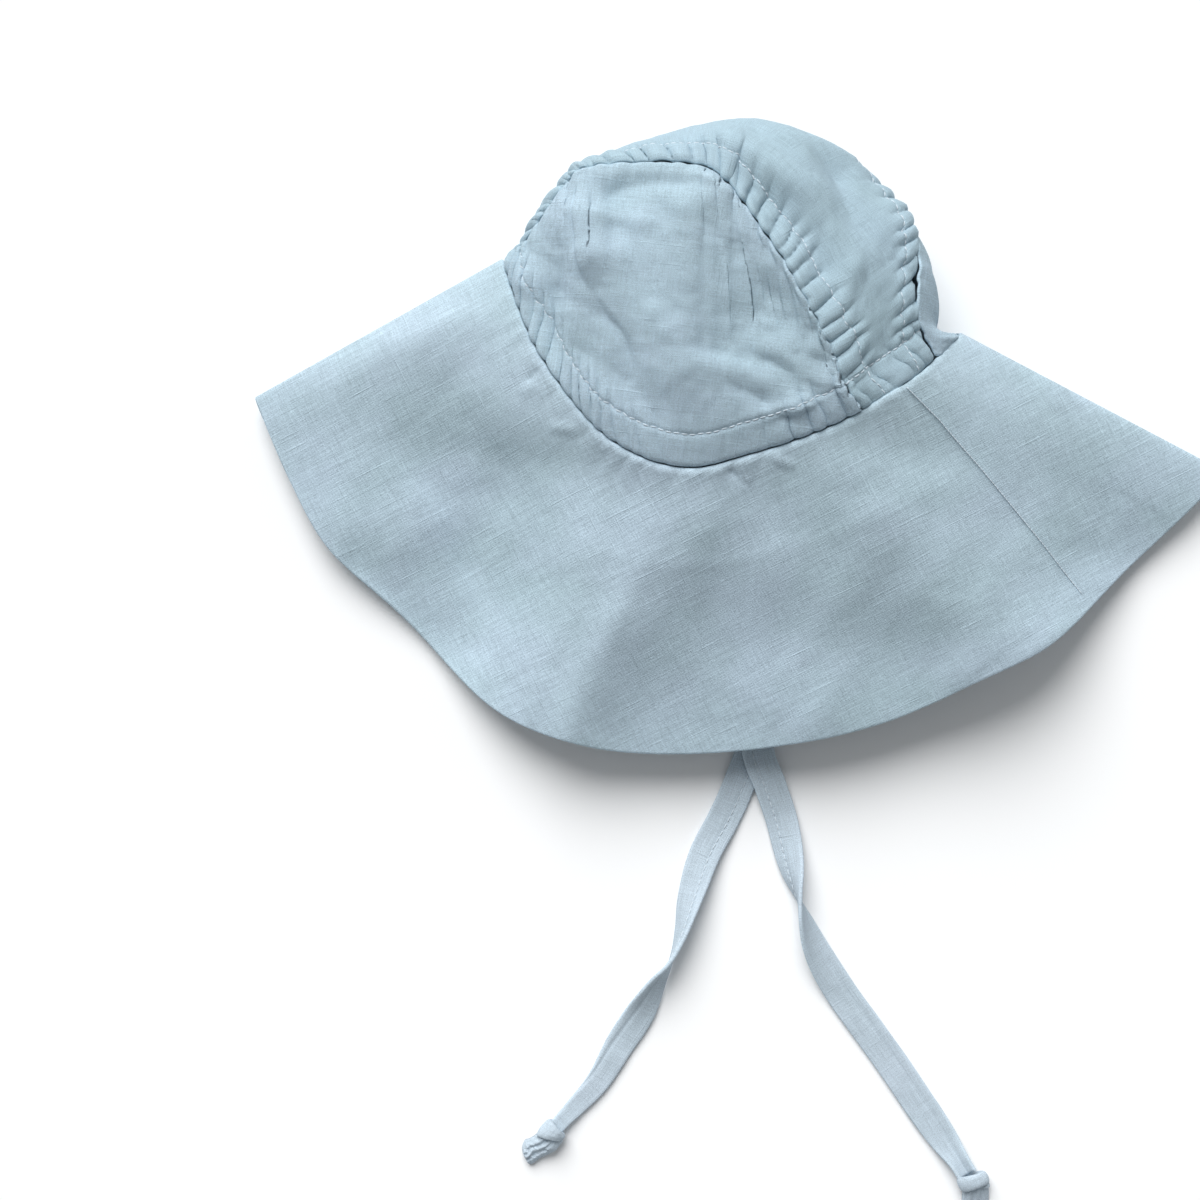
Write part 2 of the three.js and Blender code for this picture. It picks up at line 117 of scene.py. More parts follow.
class Wrinkle(NamedTuple):
    """A crease along a line of the plan: a ridge, or a valley where height is negative.

    hang lowers the cloth to the right of the line. crisp is 2 on a soft crest and 1 on a sharp one, and
    taper is the share of the line that fades out at each end.
    """

    line: tuple[tuple[float, float], ...]
    spread: float
    height: float
    hang: float = 0.0
    crisp: float = 2.0
    taper: float = 0.35


class TiePoint(NamedTuple):
    """A point of a tie's route, the height of what it lies on and how far it is turned over there."""

    x: float
    y: float
    under: float
    lean: float


FLAT = BRIM_WALL / 2
BRIM = (
    BrimRib(-81, 61, 22, -168, 14, 6),
    BrimRib(-78, 50, 30, -156, -14, 8),
    BrimRib(-71, 32, 37, -142, -38, 12),
    BrimRib(-61, 16, 42, -117, -61, 17),
    BrimRib(-48, 1, 45, -86, -92, 13),
    BrimRib(-33, -8, 47, -54, -105, 12),
    BrimRib(-17, -11, 48, -21, -108, 14),
    BrimRib(0, -7, 49, 14, -105, 15),
    BrimRib(16, -2, 50, 49, -97, 12),
    BrimRib(33, 5, 51, 80, -83, 13),
    BrimRib(46, 13, 50, 107, -69, 17),
    BrimRib(57, 20, 44, 134, -45, 16),
    BrimRib(67, 29, 34, 156, -24, 10),
    BrimRib(74, 36, 22, 168.2, -11, 6),
    BrimRib(68, 33, 9, 158, -20, 2),
    BrimRib(56, 26, 3, 133, -42, FLAT),
    BrimRib(39, 19, FLAT, 102, -64, FLAT),
    BrimRib(18, 12, FLAT, 56, -86, FLAT),
    BrimRib(-7, 7, FLAT, 7, -97, FLAT),
    BrimRib(-31, 9, FLAT, -42, -95, FLAT),
    BrimRib(-52, 20, FLAT, -85, -81, FLAT),
    BrimRib(-67, 37, FLAT, -123, -48, FLAT),
    BrimRib(-75, 51, 3, -150, -17, FLAT),
    BrimRib(-80, 59, 10, -164, 4, 2),
)
BACK_FOLD = 13

CROWN = (
    CrownSection(-80, 61, 22, -67, 41, 2, 2.5, 0.0, 21.3, 0, 0),
    CrownSection(-73, 68, 30, -67, 55, 2, 4, 1.0, 20.6, 2, 0),
    CrownSection(-66, 77, 36, -63, 70, 3, 5.5, 1.9, 20.0, 4, 0),
    CrownSection(-60, 85, 41, -56, 79, 3, 5, 2.7, 19.5, 6, 0),
    CrownSection(-53, 90, 45, -46, 86, 4, 6, 3.7, 19.0, 8, 0),
    CrownSection(-35, 91, 50, -31, 91, 4, 9.5, 5.0, 18.4, 9, 0),
    CrownSection(-15, 89, 54, -10, 95, 5, 14, 6.1, 17.8, 9, 0),
    CrownSection(-6, 82, 57, 14, 98, 6, 16.9, 7.1, 17.2, 8, 0),
    CrownSection(3, 69, 60, 42, 91, 14, 17, 7.9, 16.6, 6, 3),
    CrownSection(16, 49, 62, 55, 75, 29, 8, 8.5, 16.0, 3, 12),
    CrownSection(25, 32, 60, 58.5, 58, 40, 3, 8.9, 15.4, 1, 12),
    CrownSection(32, 17, 56, 57.5, 42, 43, 1.5, 9.2, 14.6, 0, 7),
    CrownSection(38, 8, 51, 64, 27, 37, 1, 9.4, 11.7, 0, 0),
)
CROWN_END = len(CROWN) - 1
CROWN_CENTER = (-5.0, 40.0)

TIE_LEFT = (
    TiePoint(-1, 5, 2.2, 0),
    TiePoint(0, -20, 2.1, 0),
    TiePoint(3, -55, 2.1, 0),
    TiePoint(4.5, -88, 2.1, 0),
    TiePoint(5.2, -104, 1.8, 0),
    TiePoint(-0.6, -121, 0.5, 0),
    TiePoint(-5.6, -132, 0.1, 2),
    TiePoint(-12, -144, 0.1, 12),
    TiePoint(-16.8, -158, 0.1, 36),
    TiePoint(-20, -170, 0.1, 68),
    TiePoint(-24, -181, 0.1, 95),
    TiePoint(-29, -189, 0.1, 128),
    TiePoint(-35, -200, 0.1, 165),
    TiePoint(-42, -211, 0.1, 180),
    TiePoint(-49, -223, 0.1, 180),
    TiePoint(-57, -232, 0.4, 180),
    TiePoint(-61, -236, 1.6, 180),
)
TIE_RIGHT = (
    TiePoint(3, -3, 46.2, 0),
    TiePoint(3.6, -11, 43.4, 0),
    TiePoint(4.2, -18, 38, 0),
    TiePoint(4.6, -25, 28, 0),
    TiePoint(5, -34, 16, 0),
    TiePoint(5.3, -46, 7.5, 0),
    TiePoint(5.6, -62, 4.3, 0),
    TiePoint(5.8, -85, 4.1, 0),
    TiePoint(6.5, -107, 4.1, 0),
    TiePoint(11, -120, 2.4, 0),
    TiePoint(15, -132, 0.4, 6),
    TiePoint(18, -146, 0.1, 32),
    TiePoint(21, -160, 0.1, 90),
    TiePoint(26, -175, 0.1, 145),
    TiePoint(35, -191, 0.1, 176),
    TiePoint(45, -205, 0.1, 180),
    TiePoint(55, -219, 0.1, 180),
    TiePoint(63, -231, 0.1, 180),
    TiePoint(72, -244, 0.4, 180),
    TiePoint(76.5, -250.5, 1.6, 180),
)


def read_track(rows: tuple[NamedTuple, ...], station: Array, *names: str, closed: bool = False) -> Array:
    """Reads named columns of a table as smooth curves.

    Args:
        rows: The table's rows.
        station: Row numbers, with shares of a row between them.
        names: The columns to read.
        closed: Whether the last row joins the first.

    Returns:
        The columns at each station, along a new last axis.
    """
    table = np.array([[getattr(row, name) for name in names] for row in rows], dtype=float)
    count = len(table)
    station = np.asarray(station, dtype=float)
    if closed:
        low = np.floor(station).astype(int)
        near = [table[(low + step) % count] for step in (-1, 0, 1, 2)]
    else:
        station = np.clip(station, 0, count - 1)
        low = np.clip(np.floor(station).astype(int), 0, count - 2)
        ends = np.concatenate([[2 * table[0] - table[1]], table, [2 * table[-1] - table[-2]]])
        near = [ends[low + step] for step in (0, 1, 2, 3)]
    share = (station - low)[..., None]
    leave = (near[2] - near[0]) / 2
    arrive = (near[3] - near[1]) / 2
    rise = near[2] - near[1]
    return (
        near[1] + leave * share
        + (3 * rise - 2 * leave - arrive) * share**2
        + (leave + arrive - 2 * rise) * share**3
    )


def unit(vectors: Array) -> Array:
    """Gives vectors of length one."""
    return vectors / np.maximum(np.linalg.norm(vectors, axis=-1, keepdims=True), 1e-9)


def hump(share: Array) -> Array:
    """Gives a parabola that is 0 at both ends and 1 in the middle."""
    return 4 * share * (1 - share)


def fade(distance: Array, reach: float) -> Array:
    """Gives a bell that is 1 at distance 0 and has faded at reach."""
    return np.exp(-((distance / reach) ** 2))


def step_up(value: Array, low: float, high: float) -> Array:
    """Gives a smooth step from 0 at low to 1 at high."""
    share = np.clip((value - low) / (high - low), 0, 1)
    return share * share * (3 - 2 * share)


def outward(points: Array) -> Array:
    """Gives the level directions away from the crown's middle.

    Args:
        points: Points round the crown.

    Returns:
        A level vector of length one at each point.
    """
    away = points - np.array([*CROWN_CENTER, 0.0])
    away[..., 2] = 0
    return unit(away)


def brim_seam(station: Array) -> Array:
    """Gives points of the base seam."""
    return read_track(BRIM, station, "seam_x", "seam_y", "seam_z", closed=True)


def arc_lengths(points: Array, axis: int) -> Array:
    """Gives the distance walked over a grid of points along one of its axes.

    Args:
        points: The grid of points.
        axis: The axis that is walked along.

    Returns:
        The distance walked at each point.
    """
    steps = np.linalg.norm(np.diff(points, axis=axis), axis=-1)
    walked = np.cumsum(steps, axis=axis)
    start = np.zeros_like(np.take(walked, [0], axis=axis))
    return np.concatenate([start, walked], axis=axis)


def soft_line(points: tuple[tuple[float, float], ...]) -> Array:
    """Rounds a line of the plan off.

    Args:
        points: The line's points.

    Returns:
        More points, on a smooth curve through them.
    """
    table = np.array(points, dtype=float)
    if len(table) < 3:
        return table
    ends = np.concatenate([[2 * table[0] - table[1]], table, [2 * table[-1] - table[-2]]])
    found = []
    for number in range(len(table) - 1):
        a, b, c, d = ends[number:number + 4]
        for share in (0.0, 0.25, 0.5, 0.75):
            bend = (2 * a - 5 * b + 4 * c - d) * share**2 + (3 * b - a - 3 * c + d) * share**3
            found.append(b + (c - a) / 2 * share + bend / 2)
    return np.array(found + [table[-1]])


def wrinkle_relief(wrinkles: tuple[Wrinkle, ...], x: Array, y: Array) -> Array:
    """Adds up the wrinkles over places of the plan.

    Args:
        wrinkles: The wrinkles, in millimetres.
        x: The places' X.
        y: The places' Y.

    Returns:
        The height of the wrinkles at each place.
    """
    height = np.zeros_like(x)
    for wrinkle in wrinkles:
        line = soft_line(wrinkle.line)
        sizes = np.linalg.norm(np.diff(line, axis=0), axis=1)
        walked = np.concatenate([[0.0], np.cumsum(sizes)]) / sizes.sum()
        near = np.full_like(x, 1e9)
        place = np.zeros_like(x)
        side = np.zeros_like(x)
        for number, size in enumerate(sizes):
            way = (line[number + 1] - line[number]) / size
            away_x, away_y = x - line[number, 0], y - line[number, 1]
            along = np.clip(away_x * way[0] + away_y * way[1], 0, size)
            distance = np.hypot(away_x - along * way[0], away_y - along * way[1])
            closer = distance < near
            near = np.where(closer, distance, near)
            share = walked[number] + along / size * (walked[number + 1] - walked[number])
            place = np.where(closer, share, place)
            side = np.where(closer, away_x * way[1] - away_y * way[0], side)
        ends = step_up(np.minimum(place, 1 - place), -0.001, wrinkle.taper) if wrinkle.taper else 1.0
        height += wrinkle.height * ends * np.exp(-((near / wrinkle.spread) ** wrinkle.crisp))
        if wrinkle.hang:
            below = step_up(side, -0.35 * wrinkle.spread, 0.35 * wrinkle.spread)
            height -= wrinkle.hang * ends * fade(near, 3 * wrinkle.spread) * below
    return height


def mottle(a: Array, b: Array, seed: int) -> Array:
    """Gives smooth random heights between about -0.7 and 0.7, with blots of size 1.

    Args:
        a: One coordinate.
        b: The other.
        seed: Which of the like patterns it is.

    Returns:
        The height at each place.
    """
    cells = 64
    turn = np.random.default_rng(seed).uniform(0, 2 * math.pi, (cells, cells))
    a, b = np.broadcast_arrays(a, b)
    low_a, low_b = np.floor(a).astype(int), np.floor(b).astype(int)
    share_a, share_b = a - low_a, b - low_b
    smooth_a = share_a**3 * (share_a * (6 * share_a - 15) + 10)
    smooth_b = share_b**3 * (share_b * (6 * share_b - 15) + 10)
    corner = {}
    for step_a in (0, 1):
        for step_b in (0, 1):
            lean = turn[(low_a + step_a) % cells, (low_b + step_b) % cells]
            corner[step_a, step_b] = np.cos(lean) * (share_a - step_a) + np.sin(lean) * (share_b - step_b)
    near = corner[0, 0] + (corner[1, 0] - corner[0, 0]) * smooth_a
    far = corner[0, 1] + (corner[1, 1] - corner[0, 1]) * smooth_a
    return near + (far - near) * smooth_b


@dataclass(frozen=True)
class Crumple:
    """The small irregular creases of washed linen, longer one way than the other."""

    size: float
    height: float
    seed: int
    stretch: float = 1.0
    turn: float = 0.0
    ridged: bool = False

    def relief(self, a: Array, b: Array) -> Array:
        """Gives the height at places of the cloth.

        Args:
            a: Millimetres along the cloth.
            b: Millimetres across it.

        Returns:
            The height at each place, in millimetres.
        """
        turn = math.radians(self.turn)
        along = (a * math.cos(turn) + b * math.sin(turn)) / (self.size * self.stretch)
        beside = (b * math.cos(turn) - a * math.sin(turn)) / self.size
        beside = beside + 0.6 * mottle(along * 0.7, beside * 0.5, self.seed + 90)
        total = np.zeros(np.broadcast(along, beside).shape)
        for layer in range(3):
            finer = 2.0**layer
            part = mottle(along * finer, beside * finer, self.seed + layer)
            total += (0.35 - 1.4 * np.abs(part) if self.ridged else 1.6 * part) / finer**1.15
        return self.height * total


@dataclass(frozen=True)
class Gathers:
    """A run of uneven puckers between a seam and a row of stitches, fading out beyond the stitches."""

    pitch: float
    height: float
    casing: float
    beyond: float
    seed: int
    slant: float = 0.2
    groove: float = 0.45

    def relief(self, arc: Array, away: Array) -> Array:
        """Gives the height at distances along the seam.

        Args:
            arc: Millimetres along the seam.
            away: Millimetres away from it.

        Returns:
            The height at each place, in millimetres.
        """
        draw = np.random.default_rng(self.seed)
        count = 90
        steps = self.pitch * draw.uniform(0.6, 1.4, count)
        starts = np.cumsum(steps) - steps - 25
        place = arc + self.slant * away + 1.3 * mottle(arc / 11, away / 7, self.seed)
        cell = np.clip(np.searchsorted(starts, place) - 1, 0, count - 1)
        share = np.clip((place - starts[cell]) / steps[cell], 0, 1)
        size = draw.uniform(0.6, 1.3, count)[cell] * (steps[cell] / self.pitch) ** 0.5
        pillow = size * (0.6 - np.abs(2 * share - 1) ** 2.6)
        ripple = size * 0.5 * np.cos(2 * math.pi * share + math.pi)
        within = 0.5 + 0.5 * np.sqrt(hump(np.clip(away / self.casing, 0, 1)))
        past = np.exp(-((np.maximum(away - self.casing, 0) / self.beyond) ** 2))
        height = np.where(away < self.casing, pillow * within, (0.5 * pillow + 0.4 * ripple) * past)
        return self.height * height - self.groove * fade(away - self.casing, 0.7)


class Maker:
    """Adds nodes to a material, with plain names for what this object's finishes need."""

    def __init__(self, material: bpy.types.Material) -> None:
        """Starts on an empty tree.

        Args:
            material: The material whose nodes are made.
        """
        material.use_nodes = True
        self.tree = material.node_tree
        self.tree.nodes.clear()

    def node(self, kind: str, **settings: object) -> bpy.types.Node:
        """Adds a node and sets its properties.

        Args:
            kind: The node's type.
            settings: Its properties by name.

        Returns:
            The new node.
        """
        node = self.tree.nodes.new(kind)
        for name, value in settings.items():
            setattr(node, name, value)
        return node

    def feed(self, node: bpy.types.Node, socket: str | int, value: object) -> None:
        """Links another node's output into a socket, or sets the socket's value.

        Args:
            node: The node that is fed.
            socket: The input's name or number.
            value: An output socket, or a plain value.
        """
        if isinstance(value, bpy.types.NodeSocket):
            self.tree.links.new(value, node.inputs[socket])
        else:
            node.inputs[socket].default_value = value

    def math(self, operation: str, *values: object) -> bpy.types.NodeSocket:
        """Adds a math node and gives its result.

        Args:
            operation: The node's operation.
            values: Its inputs in order.

        Returns:
            The result's socket.
        """
        node = self.node("ShaderNodeMath", operation=operation)
        for number, value in enumerate(values):
            self.feed(node, number, value)
        return node.outputs[0]

    def noise(self, vector: bpy.types.NodeSocket, size: Point, detail: float = 2.0) -> bpy.types.NodeSocket:
        """Adds a noise that is stretched to a size.

        Args:
            vector: Where it is read, in millimetres.
            size: The size of its blots along each axis, in millimetres.
            detail: How many finer layers it has.

        Returns:
            The noise's value.
        """
        mapping = self.node("ShaderNodeMapping")
        self.feed(mapping, "Vector", vector)
        self.feed(mapping, "Scale", tuple(1 / part for part in size))
        noise = self.node("ShaderNodeTexNoise")
        self.feed(noise, "Vector", mapping.outputs[0])
        self.feed(noise, "Scale", 1.0)
        self.feed(noise, "Detail", detail)
        return noise.outputs[0]

    def ramp(self, value: bpy.types.NodeSocket, low: float, high: float) -> bpy.types.NodeSocket:
        """Spreads a stretch of a value over 0 to 1.

        Args:
            value: The value that is spread.
            low: What becomes 0.
            high: What becomes 1.

        Returns:
            The spread value.
        """
        node = self.node("ShaderNodeMapRange", clamp=True)
        self.feed(node, "Value", value)
        self.feed(node, "From Min", low)
        self.feed(node, "From Max", high)
        return node.outputs[0]


@dataclass(frozen=True)
class LinenFinish:
    """Washed linen: two near tints, uneven threads both ways and slubs. Lengths are millimetres."""

    name: str
    tint: Point
    second_tint: Point
    weft: float = 0.62
    warp: float = 0.45
    nap: float = 0.9
    slub: float = 0.14
    pitch: float = 0.66
    relief: float = 0.00022
    weft_size: Point = (11.0, 0.34, 9.0)
    warp_size: Point = (0.34, 8.0, 9.0)
    nap_size: Point = (0.4, 0.26, 0.5)
    long_slub_size: Point = (26.0, 0.55, 9.0)
    cross_slub_size: Point = (0.5, 20.0, 9.0)
    blot_size: Point = (38.0, 30.0, 30.0)

    def material(self) -> bpy.types.Material:
        """Makes the material, or finds it if it is made already."""
        found = bpy.data.materials.get(self.name)
        return found if found else self._make()

    def _make(self) -> bpy.types.Material:
        """Builds the nodes of the finish.

        Returns:
            The new material.
        """
        material = bpy.data.materials.new(self.name)
        make = Maker(material)
        grain = make.node("ShaderNodeAttribute", attribute_name=GRAIN).outputs["Vector"]
        wear = make.node("ShaderNodeAttribute", attribute_name=WEAR).outputs["Fac"]
        centred = (
            (make.noise(grain, self.weft_size, 3.0), self.weft),
            (make.noise(grain, self.warp_size, 3.0), self.warp),
            (make.noise(grain, self.nap_size, 2.0), self.nap),
        )
        threads = 0.0
        for noise, weight in centred:
            threads = make.math("MULTIPLY_ADD", make.math("SUBTRACT", noise, 0.5), weight, threads)
        long_slub = make.ramp(make.noise(grain, self.long_slub_size, 1.0), 0.64, 0.80)
        cross_slub = make.ramp(make.noise(grain, self.cross_slub_size, 1.0), 0.63, 0.78)
        slubs = make.math("MAXIMUM", long_slub, cross_slub)
        parts = make.node("ShaderNodeSeparateXYZ")
        make.feed(parts, 0, grain)
        turns = 2 * math.pi / self.pitch
        ribs = make.math("SINE", make.math("MULTIPLY", parts.outputs[0], turns))
        rows = make.math("SINE", make.math("MULTIPLY", parts.outputs[1], turns))
        weave = make.math("MULTIPLY", ribs, rows)

        blots = make.ramp(make.noise(grain, self.blot_size, 3.0), 0.35, 0.65)
        tint = make.node("ShaderNodeMix", data_type="RGBA")
        make.feed(tint, 0, blots)
        make.feed(tint, 6, (*self.tint, 1.0))
        make.feed(tint, 7, (*self.second_tint, 1.0))
        light = make.math("ADD", threads, 1.0)
        light = make.math("MULTIPLY_ADD", slubs, self.slub, light)
        light = make.math("MULTIPLY_ADD", weave, 0.05, light)
        light = make.math("MULTIPLY_ADD", wear, 0.12, light)
        colour = make.node("ShaderNodeVectorMath", operation="SCALE")
        make.feed(colour, 0, tint.outputs[2])
        make.feed(colour, "Scale", light)

        height = make.math("MULTIPLY_ADD", weave, 0.2, threads)
        height = make.math("MULTIPLY_ADD", slubs, 0.7, height)
        bump = make.node("ShaderNodeBump")
        make.feed(bump, "Strength", 0.8)
        make.feed(bump, "Distance", self.relief)
        make.feed(bump, "Height", height)

        shader = make.node("ShaderNodeBsdfPrincipled")
        make.feed(shader, "Base Color", colour.outputs[0])
        make.feed(shader, "Roughness", 0.93)
        make.feed(shader, "Specular IOR Level", 0.15)
        make.feed(shader, "Sheen Weight", 0.03)
        make.feed(shader, "Sheen Roughness", 0.6)
        make.feed(shader, "Normal", bump.outputs[0])
        out = make.node("ShaderNodeOutputMaterial")
        make.feed(out, 0, shader.outputs[0])
        return material


@dataclass(frozen=True)
class ThreadFinish:
    """The pale twisted cotton of the topstitching."""

    name: str = "stitch_thread"
    tint: Point = (0.62, 0.70, 0.76)

    def material(self) -> bpy.types.Material:
        """Makes the material, or finds it if it is made already.

        Returns:
            The material.
        """
        found = bpy.data.materials.get(self.name)
        if found:
            return found
        material = bpy.data.materials.new(self.name)
        make = Maker(material)
        place = make.node("ShaderNodeTexCoord").outputs["Object"]
        twist = make.noise(place, (0.0004, 0.0004, 0.0004))
        light = make.math("MULTIPLY_ADD", twist, 0.5, 0.75)
        colour = make.node("ShaderNodeVectorMath", operation="SCALE")
        make.feed(colour, 0, self.tint)
        make.feed(colour, "Scale", light)
        shader = make.node("ShaderNodeBsdfPrincipled")
        make.feed(shader, "Base Color", colour.outputs[0])
        make.feed(shader, "Roughness", 0.8)
        make.feed(shader, "Sheen Weight", 0.1)
        out = make.node("ShaderNodeOutputMaterial")
        make.feed(out, 0, shader.outputs[0])
        return material


BRIM_LINEN = LinenFinish("washed_linen_brim", (0.466, 0.578, 0.668), (0.427, 0.549, 0.613))
CROWN_LINEN = LinenFinish(
    "washed_linen_sides", (0.416, 0.531, 0.620), (0.386, 0.506, 0.576), weft=0.42, warp=0.34, nap=0.95,
)
CENTER_LINEN = LinenFinish(
    "washed_linen_strip", (0.376, 0.498, 0.575), (0.360, 0.483, 0.545), weft=0.5, warp=0.4,
)
TIE_LINEN = LinenFinish(
    "washed_linen_ties", (0.525, 0.615, 0.695), (0.490, 0.585, 0.655), weft=0.5, warp=0.4, nap=1.1, slub=0.06,
)
THREAD = ThreadFinish()


def make_piece(
    name: str, corners: Array, faces: Array, grain: Array, wear: Array, finish: LinenFinish | ThreadFinish,
) -> bpy.types.Object:
    """Makes a smooth mesh object.

    Args:
        name: The piece's name.
        corners: Its corners, in millimetres.
        faces: Its faces, as corner numbers.
        grain: The cloth's own coordinates at each corner, in millimetres.
        wear: How rubbed and pale each corner is.
        finish: What it is made of.

    Returns:
        The object, at the origin.
    """
    mesh = bpy.data.meshes.new(name)
    mesh.from_pydata((corners * MM).tolist(), [], faces.tolist())
    mesh.polygons.foreach_set("use_smooth", [True] * len(mesh.polygons))
    mesh.attributes.new(GRAIN, "FLOAT_VECTOR", "POINT").data.foreach_set("vector", grain.ravel())
    mesh.attributes.new(WEAR, "FLOAT", "POINT").data.foreach_set("value", wear.ravel())
    mesh.materials.append(finish.material())
    mesh.update()
    piece = bpy.data.objects.new(name, mesh)
    bpy.context.scene.collection.objects.link(piece)
    log.info("%s: %d faces", name, len(faces))
    return piece


@dataclass
class Grid:
    """The worked-out surface of a sheet: points, normals and distances in millimetres."""

    points: Array
    from_start: Array
    from_end: Array
    from_first: Array
    from_last: Array
    arc: Array
    normals: Array = field(default_factory=lambda: np.zeros(0))


@dataclass
class ClothSheet(ABC):
    """A wall of cloth round a middle surface, made as a grid along and across the piece."""

    name: str
    nodes: tuple[str, ...]
    finish: LinenFinish
    material_slot: str
    along: int
    across: int
    first: float
    last: float
    wall: float = CROWN_WALL
    round_edge: float = 0.8
    crowding: float = 0.72
    ring: bool = False
    faces_down: bool = False
    grain_turn: float = 0.0

    @abstractmethod
    def middle(self, station: Array, share: Array) -> Array:
        """Gives points of the plain middle surface.

        Args:
            station: Places along the piece, as row numbers of its table.
            share: Places across the piece, from 0 to 1.

        Returns:
            A point at each place, in millimetres.
        """

    @abstractmethod
    def relief(self, grid: Grid, station: Array, share: Array) -> Array:
        """Gives how far the cloth stands off its plain middle surface.

        Args:
            grid: The sheet's surface.
            station: Places along the piece, as row numbers of its table.
            share: Places across the piece, from 0 to 1.

        Returns:
            The distance at each place, in millimetres.
        """

    def grain(self, grid: Grid) -> Array:
        """Gives the cloth's own coordinates: the plan turned by the angle of its grain.

        Args:
            grid: The sheet's surface.

        Returns:
            Three coordinates at each point, in millimetres.
        """
        turn = math.radians(self.grain_turn)
        x, y = grid.points[..., 0], grid.points[..., 1]
        along = x * math.cos(turn) + y * math.sin(turn)
        beside = y * math.cos(turn) - x * math.sin(turn)
        return np.stack([along, beside, grid.points[..., 2] * 0.3], axis=-1)

    def shares(self) -> Array:
        """Gives the places of the grid's lines across the piece, closer together at its edges."""
        even = np.linspace(0, 1, self.across + 1)
        return even - self.crowding * np.sin(2 * math.pi * even) / (2 * math.pi)

    def slopes(self, points: Array) -> Array:
        """Gives the normals of a grid of points.

        Args:
            points: The grid of points.

        Returns:
            A vector of length one at each point.
        """
        if self.ring:
            along = np.roll(points, -1, axis=0) - np.roll(points, 1, axis=0)
        else:
            along = np.gradient(points, axis=0)
        return unit(np.cross(along, np.gradient(points, axis=1)))

    def surface(self) -> Grid:
        """Works out the sheet's surface with its folds.

        Returns:
            The surface, with its distances and normals.
        """
        stations = np.linspace(self.first, self.last, self.along + 1)
        if self.ring:
            stations = stations[:-1]
        station, share = np.meshgrid(stations, self.shares(), indexing="ij")
        points = self.middle(station, share)
        walked = arc_lengths(points, 1)
        rows = arc_lengths(points, 0)
        grid = Grid(points, walked, walked[:, -1:] - walked, rows, rows[-1:] - rows, rows)
        grid.normals = self.slopes(points)
        if grid.normals[..., 2].mean() < 0 and not self.faces_down:
            grid.normals = -grid.normals
        relief = self.relief(grid, station, share)
        grid.points = points + grid.normals * relief[..., None]
        normals = self.slopes(grid.points)
        turned = np.sum(normals * grid.normals, axis=-1, keepdims=True) < 0
        grid.normals = np.where(turned, -normals, normals)
        return grid

    def half_wall(self, grid: Grid) -> Array:
        """Gives half the wall's thickness, rounded off at its edges.

        Args:
            grid: The sheet's surface.

        Returns:
            Half the thickness at each point.
        """
        edge = np.minimum(grid.from_start, grid.from_end)
        if not self.ring:
            edge = np.minimum(edge, np.minimum(grid.from_first, grid.from_last))
        share = np.clip(edge / self.round_edge, 0, 1)
        return self.wall / 2 * (0.3 + 0.7 * np.sqrt(1 - (1 - share) ** 2))

    def faces(self, rows: int, columns: int) -> Array:
        """Gives the faces of both sides of the wall and of its edges.

        Args:
            rows: How many rows of corners each side has.
            columns: How many corners a row has.

        Returns:
            Four corner numbers for each face.
        """
        count = rows * columns
        numbers = np.arange(count).reshape(rows, columns)
        if self.ring:
            numbers = np.concatenate([numbers, numbers[:1]])
        a, b, c, d = numbers[:-1, :-1], numbers[1:, :-1], numbers[1:, 1:], numbers[:-1, 1:]
        top = np.stack([a, b, c, d], axis=-1).reshape(-1, 4)
        found = [top, top[:, ::-1] + count]
        for line, flip in ((numbers[:, 0], True), (numbers[:, -1], False)):
            found.append(self._edge(line, count, flip))
        if not self.ring:
            for line, flip in ((numbers[0], False), (numbers[-1], True)):
                found.append(self._edge(line, count, flip))
        return np.concatenate(found)

    @staticmethod
    def _edge(line: Array, count: int, flip: bool) -> Array:
        """Gives the faces that close one edge of the wall."""
        strip = np.stack([line[:-1], line[1:], line[1:] + count, line[:-1] + count], axis=-1)
        return strip[:, ::-1] if flip else strip

    def build(self) -> tuple[bpy.types.Object, Grid]:
        """Makes the piece, dresses it and seats it on the frame.

        Returns:
            The piece and its surface, for the stitches on it.
        """
        grid = self.surface()
        half = self.half_wall(grid)[..., None]
        middle = grid.points.copy()
        middle[..., 2] = np.maximum(middle[..., 2], half[..., 0] + 0.02)
        outer = middle + grid.normals * half
        inner = middle - grid.normals * half
        corners = np.concatenate([outer.reshape(-1, 3), inner.reshape(-1, 3)])
        corners[:, 2] = np.maximum(corners[:, 2], 0.0)
        grain = np.concatenate([self.grain(grid).reshape(-1, 3)] * 2)
        wear = np.concatenate([self.wear(grid).ravel()] * 2)
        faces = self.faces(*grid.points.shape[:2])
        faces = self.face_out(corners, faces)
        piece = make_piece(f"{self.name}_cloth", corners, faces, grain, wear, self.finish)
        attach(piece, BODY)
        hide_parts(*self.nodes)
        grid.points = outer
        return piece, grid

    @staticmethod
    def face_out(corners: Array, faces: Array) -> Array:
        """Turns all the faces round if they point in.

        Args:
            corners: The piece's corners.
            faces: Four corner numbers for each face.

        Returns:
            The faces, turned round or as they were.
        """
        a, b, c = (corners[faces[:, number]] for number in (0, 1, 2))
        d = corners[faces[:, 3]]
        volume = np.sum(a * np.cross(b, c)) + np.sum(a * np.cross(c, d))
        return faces if volume > 0 else faces[:, ::-1]

    def wear(self, grid: Grid) -> Array:
        """Gives how rubbed the cloth is: a little along its edges."""
        edge = np.minimum(grid.from_start, grid.from_end)
        return fade(edge, 0.9)


